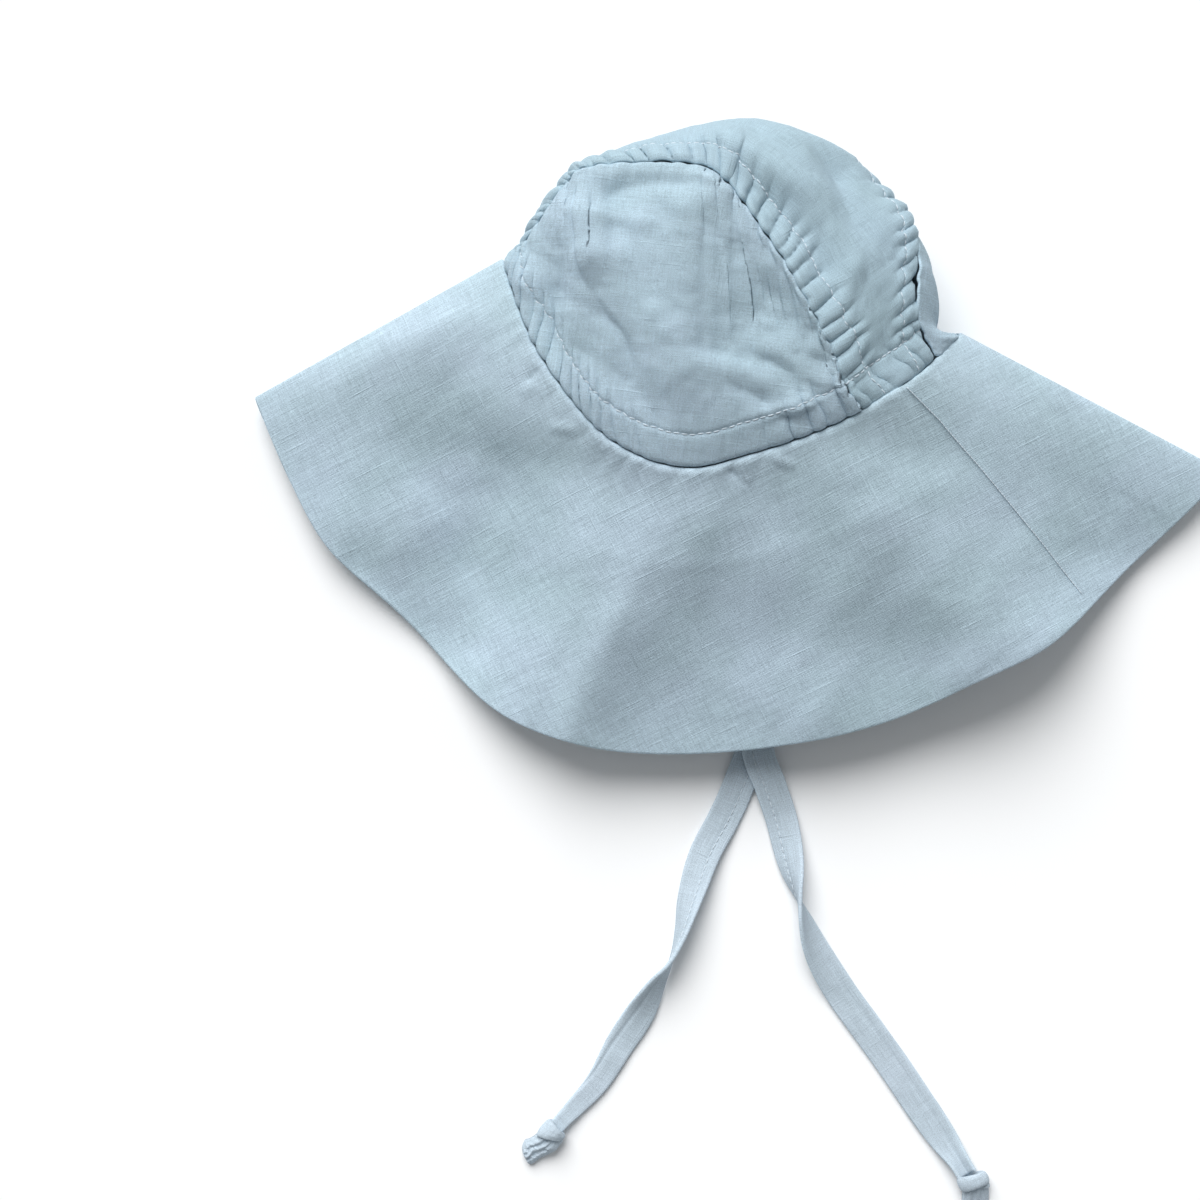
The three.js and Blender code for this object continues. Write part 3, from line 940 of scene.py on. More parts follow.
@dataclass
class Brim(ClothSheet):
    """The wide brim, folded flat on itself, with its waves and the seam of its back piece."""

    name: str = "brim"
    nodes: tuple[str, ...] = ("brim",)
    finish: LinenFinish = BRIM_LINEN
    material_slot: str = "brim_linen"
    along: int = 560
    across: int = 80
    first: float = 0.0
    last: float = float(len(BRIM))
    wall: float = BRIM_WALL
    ring: bool = True
    grain_turn: float = 26.0
    waves: tuple[Wrinkle, ...] = (
        Wrinkle(((102.9, -94.6), (47.0, -28.2), (3.9, 27.5)), 20.0, 8.0, -0.2),
        Wrinkle(((-192.6, -9.5), (-125.3, 33.3), (-37.9, 59.0)), 7.4, 6.3, -4.0),
        Wrinkle(((-70.6, -139.8), (-63.0, -95.1), (-30.4, -25.6)), 20.0, 8.0, -4.0),
        Wrinkle(((-166.7, -3.3), (-126.7, 32.6), (-59.0, 51.8)), 9.4, 8.0, -2.1),
        Wrinkle(((-83.9, -83.3), (-102.4, -27.4), (-142.9, 17.5)), 20.0, -8.0, 4.0),
        Wrinkle(((144.6, -94.1), (133.5, -38.1), (78.1, 1.5)), 19.1, -8.0, 3.1),
        Wrinkle(((-19.1, -27.7), (-57.2, -13.6), (-129.0, 0.3)), 20.0, -8.0, 2.8),
        Wrinkle(((-139.9, -3.2), (-116.6, 40.1), (-45.2, 56.8)), 14.5, 8.0, 2.1),
        Wrinkle(((28.6, -125.6), (77.2, -66.8), (78.8, -25.6)), 19.1, 8.0, -1.1),
        Wrinkle(((4.7, -124.2), (40.6, -63.3), (85.8, -16.4)), 20.0, 6.1, -1.6),
        Wrinkle(((89.5, -20.5), (43.0, 9.2), (18.0, 34.8)), 16.8, -8.0, 1.1),
        Wrinkle(((-75.6, -94.1), (-112.1, -56.2), (-131.5, -25.6)), 19.3, -8.0, -0.2),
        Wrinkle(((11.2, -33.1), (-36.5, -29.7), (-83.4, -28.4)), 20.0, 7.3, -1.1),
        Wrinkle(((61.4, -101.0), (106.6, -65.2), (133.9, -58.3)), 11.8, 8.0, -2.6),
        Wrinkle(((165.2, -12.3), (142.4, -44.1), (96.3, -37.9)), 20.0, -8.0, 4.0),
        Wrinkle(((-109.2, -57.6), (-87.0, -35.0), (-80.0, 2.9)), 20.0, -7.1, -2.7),
        Wrinkle(((-100.0, 14.6), (-119.4, 32.4), (-156.0, 30.4)), 20.0, 8.0, -4.0),
        Wrinkle(((90.0, -23.0), (44.4, -16.9), (-0.1, -1.2)), 19.0, 4.6, -2.7),
        Wrinkle(((-100.6, -95.1), (-134.1, -48.6), (-159.6, -56.8)), 20.0, -5.8, 4.0),
        Wrinkle(((50.7, -60.6), (17.2, -43.8), (-11.0, -40.5)), 19.2, 5.2, 0.5),
    )
    creases: tuple[Wrinkle, ...] = (
        Wrinkle(((-73.4, 17.7), (-68.4, 23.8)), 1.6, -0.8),
        Wrinkle(((-75.4, 14.7), (-69.0, 18.4)), 1.6, 0.8),
        Wrinkle(((-67.0, 4.6), (-54.6, 1.9)), 1.8, 0.8),
        Wrinkle(((-48.5, -5.2), (-42.4, -2.1)), 1.5, 0.6),
        Wrinkle(((-7.8, -10.2), (1.3, -16.3)), 1.5, -0.9),
        Wrinkle(((8.4, -6.5), (17.5, -10.9)), 1.5, 0.8),
        Wrinkle(((-3.0, -13.9), (2.7, -14.6)), 1.0, 0.5),
    )
    piece_seam: Wrinkle = Wrinkle(
        ((53.3, 16.2), (65.4, 5.5), (79.6, -9.6), (92.7, -24.2), (104.1, -37.2), (118.5, -54.5)),
        1.1, 0.5, 0.3, 1.5, 0.02,
    )
    seam_inset: float = 0.35
    puckers: Gathers = Gathers(8.5, 0.7, 0.01, 8.0, 11, groove=0.0)
    soft_crumple: Crumple = Crumple(24, 0.35, 3)
    fine_crumple: Crumple = Crumple(9, 0.09, 13, 2.0, 26.0, True)

    def middle(self, station: Array, share: Array) -> Array:
        """Gives points of the brim from the base seam to the rim.

        Args:
            station: Places along the piece, as row numbers of its table.
            share: Places across the piece, from 0 to 1.

        Returns:
            A point at each place, in millimetres.
        """
        seam = brim_seam(station)
        rim = read_track(BRIM, station, "rim_x", "rim_y", "rim_z", closed=True)
        size = np.linalg.norm(rim - seam, axis=-1)
        inset = self.seam_inset / size
        points = seam + (rim - seam) * (inset + (1 - inset) * share)[..., None]
        upper = self.upper(station)
        points[..., 2] += upper * (
            wrinkle_relief(self.waves, points[..., 0], points[..., 1]) * np.minimum(1, 3 * share)
            - BRIM_SAG * hump(share)
        )
        return points

    @staticmethod
    def upper(station: Array) -> Array:
        """Gives 1 in the middle of the upper half of the brim and 0 on the lower half."""
        turn = np.mod(station, len(BRIM))
        return np.where(turn < BACK_FOLD, np.sin(math.pi * turn / BACK_FOLD), 0.0)

    def relief(self, grid: Grid, station: Array, share: Array) -> Array:
        """Gives the puckers at the base seam, the piece seam and the creases of the upper half.

        Args:
            grid: The sheet's surface.
            station: Places along the piece, as row numbers of its table.
            share: Places across the piece, from 0 to 1; not used here.

        Returns:
            The distance at each place, in millimetres.
        """
        upper = np.sqrt(self.upper(station))
        x, y = grid.points[..., 0], grid.points[..., 1]
        seam_arc = np.broadcast_to(grid.arc[:, :1], x.shape)
        height = self.puckers.relief(seam_arc, grid.from_start) * step_up(grid.from_start, 0.0, 2.0)
        height = height + wrinkle_relief((*self.creases, self.piece_seam), x, y)
        height = height + self.soft_crumple.relief(x, y) * step_up(grid.from_start, 0, 20)
        height = height + self.fine_crumple.relief(x, y)
        height = height - 0.9 * fade(grid.from_start, 1.0)
        return height * upper


def crown_seams(station: Array) -> tuple[Array, Array]:
    """Gives the two wavy seams of the center panel.

    Args:
        station: Places along the panel.

    Returns:
        The points of the upper and of the lower seam.
    """
    upper = read_track(CROWN, station, "upper_x", "upper_y", "upper_z")
    lower = read_track(CROWN, station, "lower_x", "lower_y", "lower_z")
    across = unit(lower - upper)
    ends = np.clip(1.5 * np.minimum(station, CROWN_END - station), 0, 1)
    level = np.full_like(station, 0.5)
    waves = [1.5 * ends * mottle(station * 3.1, level, seed) for seed in (UPPER_SEAM, LOWER_SEAM)]
    return upper + across * waves[0][..., None], lower + across * waves[1][..., None]


def scallops(station: Array, chord: Array, seed: int, distance: Array) -> Array:
    """Gives how the stitches of a crown seam pull the cloth beside it into small arcs.

    Args:
        station: Places along the center panel.
        chord: Vectors from the upper to the lower seam, or along the side panel at the seam.
        seed: Picks the seam's own pattern.
        distance: Distances from the seam.

    Returns:
        The displacements.
    """
    ends = np.clip(1.5 * np.minimum(station, CROWN_END - station), 0, 1)
    drift = mottle(station * 1.7, np.full_like(station, 0.5), seed)
    arcs = 0.6 - np.abs(np.sin(math.pi * SCALLOPS * station + 2.5 * drift))
    return unit(chord) * (SCALLOP_DEPTH * ends * arcs * fade(distance, SCALLOP_REACH))[..., None]


@dataclass
class CenterPanel(ClothSheet):
    """The long strip over the crown, gathered into both of its seams and into the band."""

    name: str = "crown_center_panel"
    nodes: tuple[str, ...] = ("crown_center_panel",)
    finish: LinenFinish = CENTER_LINEN
    material_slot: str = "center_linen"
    along: int = 400
    across: int = 118
    first: float = 0.05
    last: float = CROWN_END - 0.04
    crowding: float = 0.55
    edge_inset: float = 0.3
    casing_gathers: tuple[Gathers, ...] = (
        Gathers(6.6, 1.9, CASING, 4.5, 21),
        Gathers(6.6, 1.9, CASING, 4.5, 22),
    )
    band_gathers: tuple[Gathers, ...] = (
        Gathers(8.0, 1.4, BAND, 5.0, 23),
        Gathers(8.0, 1.4, BAND, 5.0, 24),
    )
    soft_crumple: Crumple = Crumple(18, 0.5, 5)
    fine_crumple: Crumple = Crumple(7, 0.12, 15, 1.6, 0.0, True)
    folds: tuple[Wrinkle, ...] = (
        Wrinkle(((31.2, 36.7), (19.1, 64.5), (-8.2, 87.3)), 7.0, -3.9, 0.9),
        Wrinkle(((42.0, 55.9), (28.4, 97.7), (18.8, 111.6)), 7.0, -4.0, 0.9),
        Wrinkle(((39.8, 47.0), (50.9, 60.0), (57.5, 101.4)), 7.0, 3.5, -0.6),
        Wrinkle(((23.9, 75.5), (-0.9, 94.8), (-17.5, 103.0)), 4.8, 3.9, 0.2),
        Wrinkle(((51.9, 79.8), (35.4, 92.9), (30.6, 98.7)), 5.5, -2.5, 1.0),
        Wrinkle(((28.9, 12.5), (52.0, 28.8), (69.4, 50.0)), 6.3, -1.9, 0.7),
        Wrinkle(((69.8, 47.1), (49.5, 58.4), (60.8, 72.1)), 6.2, -2.8, 1.1),
        Wrinkle(((27.7, 39.9), (37.7, 58.1), (39.1, 62.3)), 3.1, 1.3, 0.1),
        Wrinkle(((22.4, 82.4), (25.0, 85.3), (25.2, 102.4)), 6.9, -1.3, 0.1),
    )

    def middle(self, station: Array, share: Array) -> Array:
        """Gives points between the two seams, bowed out from the crown's middle.

        Args:
            station: Places along the piece, as row numbers of its table.
            share: Places across the piece, from 0 to 1.

        Returns:
            A point at each place, in millimetres.
        """
        upper, lower = crown_seams(station)
        chord = lower - upper
        size = np.linalg.norm(chord, axis=-1)
        inset = self.edge_inset / size
        t = inset + (1 - 2 * inset) * share
        out = outward((upper + lower) / 2)
        across = unit(chord)
        out = unit(out - across * np.sum(out * across, axis=-1, keepdims=True))
        puff = read_track(CROWN, station, "puff")[..., 0]
        points = upper + chord * t[..., None] + out * (hump(t) * puff)[..., None]
        points = points + scallops(station, chord, UPPER_SEAM, t * size)
        points = points + scallops(station, chord, LOWER_SEAM, (1 - t) * size)
        end = np.clip(1 - np.minimum(station, CROWN_END - station) / END_SECTIONS, 0, 1) ** 1.5
        back = station > CROWN_END / 2
        ring_from = np.where(back, CROWN[-1].upper_ring, CROWN[0].upper_ring + len(BRIM))
        ring_to = np.where(back, CROWN[-1].lower_ring, CROWN[0].lower_ring)
        ring = brim_seam(ring_from + (ring_to - ring_from) * t)
        return points + (ring - points) * end[..., None]

    def grain(self, grid: Grid) -> Array:
        """Gives the cloth's coordinates, with the warp along the strip.

        Args:
            grid: The sheet's surface.

        Returns:
            Three coordinates at each point, in millimetres.
        """
        middle = grid.arc[:, grid.arc.shape[1] // 2][:, None]
        along = np.broadcast_to(middle, grid.arc.shape)
        return np.stack([along, grid.from_start, np.zeros_like(along)], axis=-1)

    def relief(self, grid: Grid, station: Array, share: Array) -> Array:
        """Gives the gathers of both casings and of the band, and the folds between them.

        Args:
            grid: The sheet's surface.
            station: Places along the piece, as row numbers of its table.
            share: Places across the piece, from 0 to 1; not used here.

        Returns:
            The distance at each place, in millimetres.
        """
        x, y = grid.points[..., 0], grid.points[..., 1]
        on_top = step_up(grid.normals[..., 2], 0.15, 0.6) * step_up(grid.from_start, 0.0, 4.0)
        on_top = on_top * step_up(np.minimum(station, CROWN_END - station), 0.3, 1.5)
        height = on_top * wrinkle_relief(self.folds, x, y)
        casings = ((grid.from_start, 0), (grid.from_end, -1))
        for (distance, line), gathers in zip(casings, self.casing_gathers):
            arc = np.broadcast_to(grid.arc[:, line][:, None], x.shape)
            ends = step_up(np.minimum(grid.from_first, grid.from_last), BAND - 2, BAND + 4)
            height = height + (0.25 + 0.75 * ends) * gathers.relief(arc, distance)
            height = height - 0.8 * fade(distance, 0.9)
        for distance, gathers in zip((grid.from_last, grid.from_first), self.band_gathers):
            height = height + gathers.relief(grid.from_start, distance)
            height = height - 0.8 * fade(distance, 1.0)
        height = height + self.soft_crumple.relief(grid.arc, grid.from_start)
        height = height + self.fine_crumple.relief(grid.arc, grid.from_start)
        return height


@dataclass
class SidePanel(ClothSheet):
    """A D-shaped side of the crown, from the base seam up to the center panel."""

    side: Side = Side.UPPER
    name: str = "crown_side_panel_upper"
    nodes: tuple[str, ...] = ("crown_side_panel_upper",)
    finish: LinenFinish = CROWN_LINEN
    material_slot: str = "crown_linen"
    along: int = 340
    across: int = 140
    first: float = 0.12
    last: float = CROWN_END - 0.12
    crowding: float = 0.5
    grain_turn: float = -8.0
    edge_inset: float = 0.3
    puckers: Gathers = Gathers(6.4, 1.9, BAND, 6.0, 31, groove=0.0)
    seam_puckers: Gathers = Gathers(9.0, 0.8, 0.01, 5.0, 33, groove=0.0)
    crumples: tuple[Crumple, ...] = (
        Crumple(16, 0.5, 7),
        Crumple(8, 0.34, 17, 2.2, -38.0, True),
        Crumple(4.6, 0.13, 19, 1.7, 28.0, True),
    )
    folds: tuple[Wrinkle, ...] = (
        Wrinkle(((-18.3, 51.9), (-16.2, 73.3), (6.7, 119.5)), 8.0, 4.5, -1.1),
        Wrinkle(((-62.8, -2.9), (-67.6, 41.0), (-55.6, 74.1)), 4.9, -3.4, 0.8),
        Wrinkle(((-19.5, -4.3), (-39.4, 18.7), (-74.3, 41.2)), 8.0, -2.1, -0.7),
        Wrinkle(((-41.3, 58.1), (-44.2, 76.7), (-46.2, 88.4)), 6.5, -3.2, -0.1),
        Wrinkle(((-53.6, 47.4), (-54.3, 69.2), (-67.9, 80.9)), 8.0, 4.2, -1.5),
        Wrinkle(((26.2, 9.5), (1.9, 24.8), (-25.3, 33.3)), 5.6, -2.5, 1.0),
        Wrinkle(((25.4, 40.0), (14.0, 36.6), (-21.8, 37.9)), 8.0, -2.9, 0.6),
        Wrinkle(((17.8, 42.2), (-2.9, 48.6), (-11.8, 62.6)), 8.0, -2.8, 0.3),
        Wrinkle(((-55.9, 73.9), (-36.1, 83.4), (-1.9, 79.0)), 3.1, -1.7, 0.0),
        Wrinkle(((17.8, 26.8), (11.8, 42.0), (-5.3, 64.7)), 4.5, -1.6, 0.0),
        Wrinkle(((-74.8, 33.1), (-56.2, 69.1), (-61.1, 113.6)), 7.5, -0.9, -0.2),
        Wrinkle(((-33.7, 22.9), (-47.5, 40.2), (-74.3, 56.7)), 8.0, -1.4, -1.1),
        Wrinkle(((22.4, 0.6), (-0.8, 14.9), (-15.1, 18.0)), 3.9, -1.7, -0.5),
        Wrinkle(((-24.8, 71.2), (-32.4, 70.6), (-57.6, 76.3)), 5.0, 1.8, 1.1),
        Wrinkle(((13.1, 20.2), (-18.6, 28.4), (-22.0, 24.0)), 2.5, -1.6, -0.1),
        Wrinkle(((39.5, 1.6), (29.6, 13.8), (30.8, 24.5)), 7.3, 2.3, -0.2),
        Wrinkle(((-30.2, 10.7), (-22.1, 23.1), (-11.7, 32.4)), 8.0, 1.6, -0.3),
        Wrinkle(((-9.6, 31.5), (15.9, 33.2), (23.3, 35.2)), 5.4, -1.3, -0.2),
        Wrinkle(((-3.2, 2.3), (9.9, 8.4), (27.8, 13.5)), 2.8, 1.1, 0.2),
        Wrinkle(((-22.6, 29.3), (-28.4, 37.1), (-32.2, 44.8)), 4.8, 2.0, 0.6),
        Wrinkle(((5.0, 6.3), (20.5, 10.5), (24.3, 14.3)), 1.9, 1.6, -0.2),
        Wrinkle(((36.2, 6.3), (35.5, 10.0), (15.4, 15.3)), 6.4, -1.4, 0.5),
        Wrinkle(((-63.7, 51.9), (-81.1, 53.2), (-85.3, 55.2)), 4.9, 1.4, 0.5),
        Wrinkle(((31.2, 19.7), (18.4, 26.4), (23.6, 37.2)), 2.8, -1.3, 0.1),
        Wrinkle(((-9.9, 52.9), (-11.6, 65.2), (-22.3, 71.9)), 8.0, -1.0, 1.0),
        Wrinkle(((-55.8, 86), (-55.3, 70), (-54.6, 57), (-51.5, 46.0)), 1.4, -0.7, 1.9, 1.5, 0.25),
        Wrinkle(((-53.5, 54.0), (-46.8, 41.5), (-38.7, 30.7), (-36.4, 12)), 3.4, -1.2, 1.3),
    )

    def middle(self, station: Array, share: Array) -> Array:
        """Gives points between the base seam and the seam of the center panel.

        Args:
            station: Places along the piece, as row numbers of its table.
            share: Places across the piece, from 0 to 1.

        Returns:
            A point at each place, in millimetres.
        """
        name = self.side.value
        ring = brim_seam(read_track(CROWN, station, f"{name}_ring")[..., 0])
        seams = crown_seams(station)
        seam = seams[0 if self.side is Side.UPPER else 1]
        size = np.maximum(np.linalg.norm(seam - ring, axis=-1), 2 * self.edge_inset + 0.2)
        inset = self.edge_inset / size
        t = inset + (1 - 2 * inset) * share
        points = ring + (seam - ring) * t[..., None]
        seed = UPPER_SEAM if self.side is Side.UPPER else LOWER_SEAM
        points = points + scallops(station, seams[1] - seams[0], seed, (1 - t) * size)
        if self.side is Side.UPPER:
            points[..., 2] += hump(t) * read_track(CROWN, station, "rise")[..., 0]
            return points
        bulge = hump(t) * read_track(CROWN, station, "bulge")[..., 0]
        return points + outward(points) * bulge[..., None]

    def relief(self, grid: Grid, station: Array, share: Array) -> Array:
        """Gives the band's puckers, the folds and the rolled seam edges.

        Args:
            grid: The sheet's surface.
            station: Places along the piece, as row numbers of its table.
            share: Places across the piece, from 0 to 1.

        Returns:
            The distance at each place, in millimetres.
        """
        x, y = grid.points[..., 0], grid.points[..., 1]
        inside = np.minimum(1, 2 * hump(share))
        slack = 1 - 0.85 * fade(station - 6.5, 1.9)
        arc = np.broadcast_to(grid.arc[:, :1], x.shape)
        seam_arc = np.broadcast_to(grid.arc[:, -1:], x.shape)
        base, top = grid.from_start, grid.from_end
        height = slack * self.puckers.relief(arc, base)
        height = height - 0.5 * fade(base - BAND, 0.8)
        height = height + self.seam_puckers.relief(seam_arc, top)
        height = height - 0.8 * fade(base, 1.0) - 0.8 * fade(top, 0.9)
        for crumple in self.crumples:
            height = height + crumple.relief(x, y) * inside
        if self.side is Side.UPPER:
            clear = step_up(base, 0.0, 10.0) * step_up(top, 0.0, 5.0)
            return height + clear * wrinkle_relief(self.folds, x, y)
        return height * 0.4


@dataclass
class Tie(ClothSheet):
    """A flat tie: a folded strip of linen with one row of stitches, turned over once on its way."""

    route: tuple[TiePoint, ...] = TIE_LEFT
    name: str = "tie_left"
    nodes: tuple[str, ...] = ("tie_left",)
    finish: LinenFinish = TIE_LINEN
    material_slot: str = "tie_linen"
    along: int = 330
    across: int = 24
    first: float = 0.0
    last: float = float(len(TIE_LEFT) - 1)
    wall: float = TIE_WALL
    round_edge: float = 1.3
    crowding: float = 0.5
    stitch_line: float = 3.6
    pinch: float = 0.12
    seed: int = 41
    tucked: TiePoint = TIE_LEFT[-1]
    end_share: float = 0.6
    narrow_from: float = 2.0
    curl: float = 0.8

    def surface(self) -> Grid:
        """Works out the tie's surface, on past the end of its route into the knot.

        Returns:
            The surface, with its distances and normals.
        """
        reached = self.last
        self.last = reached + 1
        grid = super().surface()
        self.last = reached
        return grid

    def center(self, station: Array) -> Array:
        """Gives points of the tie's middle line.

        Args:
            station: Places along the piece, as row numbers of its table.

        Returns:
            A point at each place, in millimetres.
        """
        rows = (*self.route, self.tucked)
        points = read_track(rows, station, "x", "y", "under")
        lean = np.radians(read_track(rows, station, "lean")[..., 0])
        points[..., 2] += TIE_WIDTH / 2 * np.abs(np.sin(lean)) + self.wall / 2 * np.abs(np.cos(lean))
        return points

    def middle(self, station: Array, share: Array) -> Array:
        """Gives points across the tie at each place along it.

        Args:
            station: Places along the piece, as row numbers of its table.
            share: Places across the piece, from 0 to 1.

        Returns:
            A point at each place, in millimetres.
        """
        center = self.center(station)
        tangent = unit(self.center(station + 0.05) - self.center(station - 0.05))
        level = unit(np.cross(np.array([0.0, 0.0, 1.0]), tangent))
        face = np.cross(tangent, level)
        lean = np.radians(read_track((*self.route, self.tucked), station, "lean"))
        sideways = level * np.cos(lean) + face * np.sin(lean)
        width = TIE_WIDTH * (1 - self.pinch * np.abs(np.sin(lean[..., 0])))
        narrow = step_up(station, len(self.route) - 1 - self.narrow_from, len(self.route) - 0.6)
        width = width * (1 - (1 - self.end_share) * narrow)
        points = center + sideways * (width * (share - 0.5))[..., None]
        points[..., 2] += self.curl * narrow * (2 * share - 1) ** 2
        return points

    def grain(self, grid: Grid) -> Array:
        """Gives the cloth's coordinates along and across the tie.

        Args:
            grid: The sheet's surface.

        Returns:
            Three coordinates at each point, in millimetres.
        """
        middle = grid.arc[:, grid.arc.shape[1] // 2][:, None]
        along = np.broadcast_to(middle, grid.arc.shape)
        return np.stack([along, grid.from_start, np.zeros_like(along)], axis=-1)

    def relief(self, grid: Grid, station: Array, share: Array) -> Array:
        """Gives the tie's slight ripple."""
        return Crumple(17, 0.16, self.seed).relief(grid.arc, grid.from_start)

    def half_wall(self, grid: Grid) -> Array:
        """Gives half the tie's thickness, drawn in along its stitches."""
        half = super().half_wall(grid)
        return half * (1 - 0.45 * fade(grid.from_start - self.stitch_line, 0.6))


@dataclass
class Stitching:
    """Rows of topstitching: one small loop of thread for each stitch, joined into one piece."""

    name: str = "topstitching"
    pitch: float = 2.7
    length: float = 2.25
    radius: float = 0.22
    lift: float = 0.0
    sides: int = 6
    rings: int = 7
    rows: list[tuple[Array, Array]] = field(default_factory=list)

    def follow(self, grid: Grid, edge: Edge, distance: float, span: tuple[float, float] = (0.0, 1.0)) -> None:
        """Adds a row of stitches at a distance from an edge of a sheet.

        Args:
            grid: The sheet's surface.
            edge: The edge that the row follows.
            distance: Millimetres from that edge.
            span: The shares of the edge where the row starts and ends.
        """
        if edge in (Edge.START, Edge.END):
            away = grid.from_start if edge is Edge.START else grid.from_end
            points, normals = grid.points, grid.normals
        else:
            away = (grid.from_first if edge is Edge.FIRST_ROW else grid.from_last).T
            points, normals = np.swapaxes(grid.points, 0, 1), np.swapaxes(grid.normals, 0, 1)
        low, high = int(span[0] * len(away)), int(span[1] * len(away))
        line, up = [], []
        for number in range(low, high):
            order = np.argsort(away[number])
            if away[number][order[-1]] < distance:
                continue
            places = away[number][order]
            line.append([np.interp(distance, places, points[number][order][:, axis]) for axis in range(3)])
            up.append([np.interp(distance, places, normals[number][order][:, axis]) for axis in range(3)])
        if len(line) > 3:
            self.rows.append((np.array(line), unit(np.array(up))))

    def trace(self, grid: Grid, line: tuple[tuple[float, float], ...]) -> None:
        """Adds a row of stitches over a line of the plan, on the upper face of a sheet.

        Args:
            grid: The sheet's surface.
            line: The line's points in the plan.
        """
        top = grid.normals[..., 2] > 0.3
        points, normals = grid.points[top], grid.normals[top]
        found, up = [], []
        for start, end in zip(line[:-1], line[1:]):
            count = max(2, int(math.dist(start, end)))
            for share in np.linspace(0, 1, count, endpoint=False):
                place = np.array(start) * (1 - share) + np.array(end) * share
                away = np.hypot(points[:, 0] - place[0], points[:, 1] - place[1])
                near = np.argsort(away)[:6]
                weight = 1 / (away[near] + 0.05)
                found.append([*place, np.average(points[near, 2], weights=weight) + self.lift])
                up.append(np.average(normals[near], axis=0, weights=weight))
        self.rows.append((np.array(found), unit(np.array(up))))

    def build(self) -> bpy.types.Object:
        """Makes all the rows as one piece.

        Returns:
            The piece.
        """
        corners: list[Array] = []
        faces: list[Array] = []
        count = 0
        for line, up in self.rows:
            walked = np.concatenate([[0.0], np.cumsum(np.linalg.norm(np.diff(line, axis=0), axis=1))])
            for start in np.arange(0.3, walked[-1] - self.length, self.pitch):
                tube = self._stitch(walked, line, up, start)
                corners.append(tube)
                faces.append(self._tube_faces() + count)
                count += len(tube)
        joined = np.concatenate(corners)
        zeros = np.zeros(len(joined))
        piece = make_piece(self.name, joined, np.concatenate(faces), np.zeros_like(joined), zeros, THREAD)
        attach(piece, BODY)
        return piece

    def _stitch(self, walked: Array, line: Array, up: Array, start: float) -> Array:
        """Gives the corners of one stitch.

        Args:
            walked: The distance along the row at each of its points.
            line: The row's points.
            up: The cloth's normals at them.
            start: Where the stitch starts, along the row.

        Returns:
            The corners, ring by ring.
        """
        share = np.linspace(0, 1, self.rings)
        places = start + self.length * share
        middle = np.stack([np.interp(places, walked, line[:, axis]) for axis in range(3)], axis=-1)
        normal = unit(np.stack([np.interp(places, walked, up[:, axis]) for axis in range(3)], axis=-1))
        middle = middle + normal * (self.radius * (1.5 * np.sqrt(hump(share)) - 0.6))[:, None]
        tangent = unit(np.gradient(middle, axis=0))
        side = unit(np.cross(tangent, normal))
        width = self.radius * (0.55 + 0.45 * np.sqrt(hump(share)))
        turn = np.linspace(0, 2 * math.pi, self.sides, endpoint=False)
        ring = side[:, None] * np.cos(turn)[None, :, None] + normal[:, None] * np.sin(turn)[None, :, None]
        return (middle[:, None] + ring * width[:, None, None]).reshape(-1, 3)

    def _tube_faces(self) -> Array:
        """Gives the faces of one stitch, with its ends closed by quads.

        Returns:
            Four corner numbers for each face.
        """
        sides = self.sides
        found = []
        for ring in range(self.rings - 1):
            for side in range(sides):
                a = ring * sides + side
                b = ring * sides + (side + 1) % sides
                found.append([a, b, b + sides, a + sides])
        last = (self.rings - 1) * sides
        found += [[0, 3, 2, 1], [0, 5, 4, 3]]
        found += [[last, last + 1, last + 2, last + 3], [last, last + 3, last + 4, last + 5]]
        return np.array(found)


class KnotWrap(NamedTuple):
    """A band of the tie wound round its knot, in the knot's own directions."""

    along: float
    beside: float
    half_side: float
    half_height: float
    left_breadth: float
    right_breadth: float
    lean: float
    bulk: float


class KnotRib(NamedTuple):
    """A rib of the tail that comes out of a knot: its two edges, and how high the cloth stands there."""

    left_along: float
    left_side: float
    right_along: float
    right_side: float
    height: float


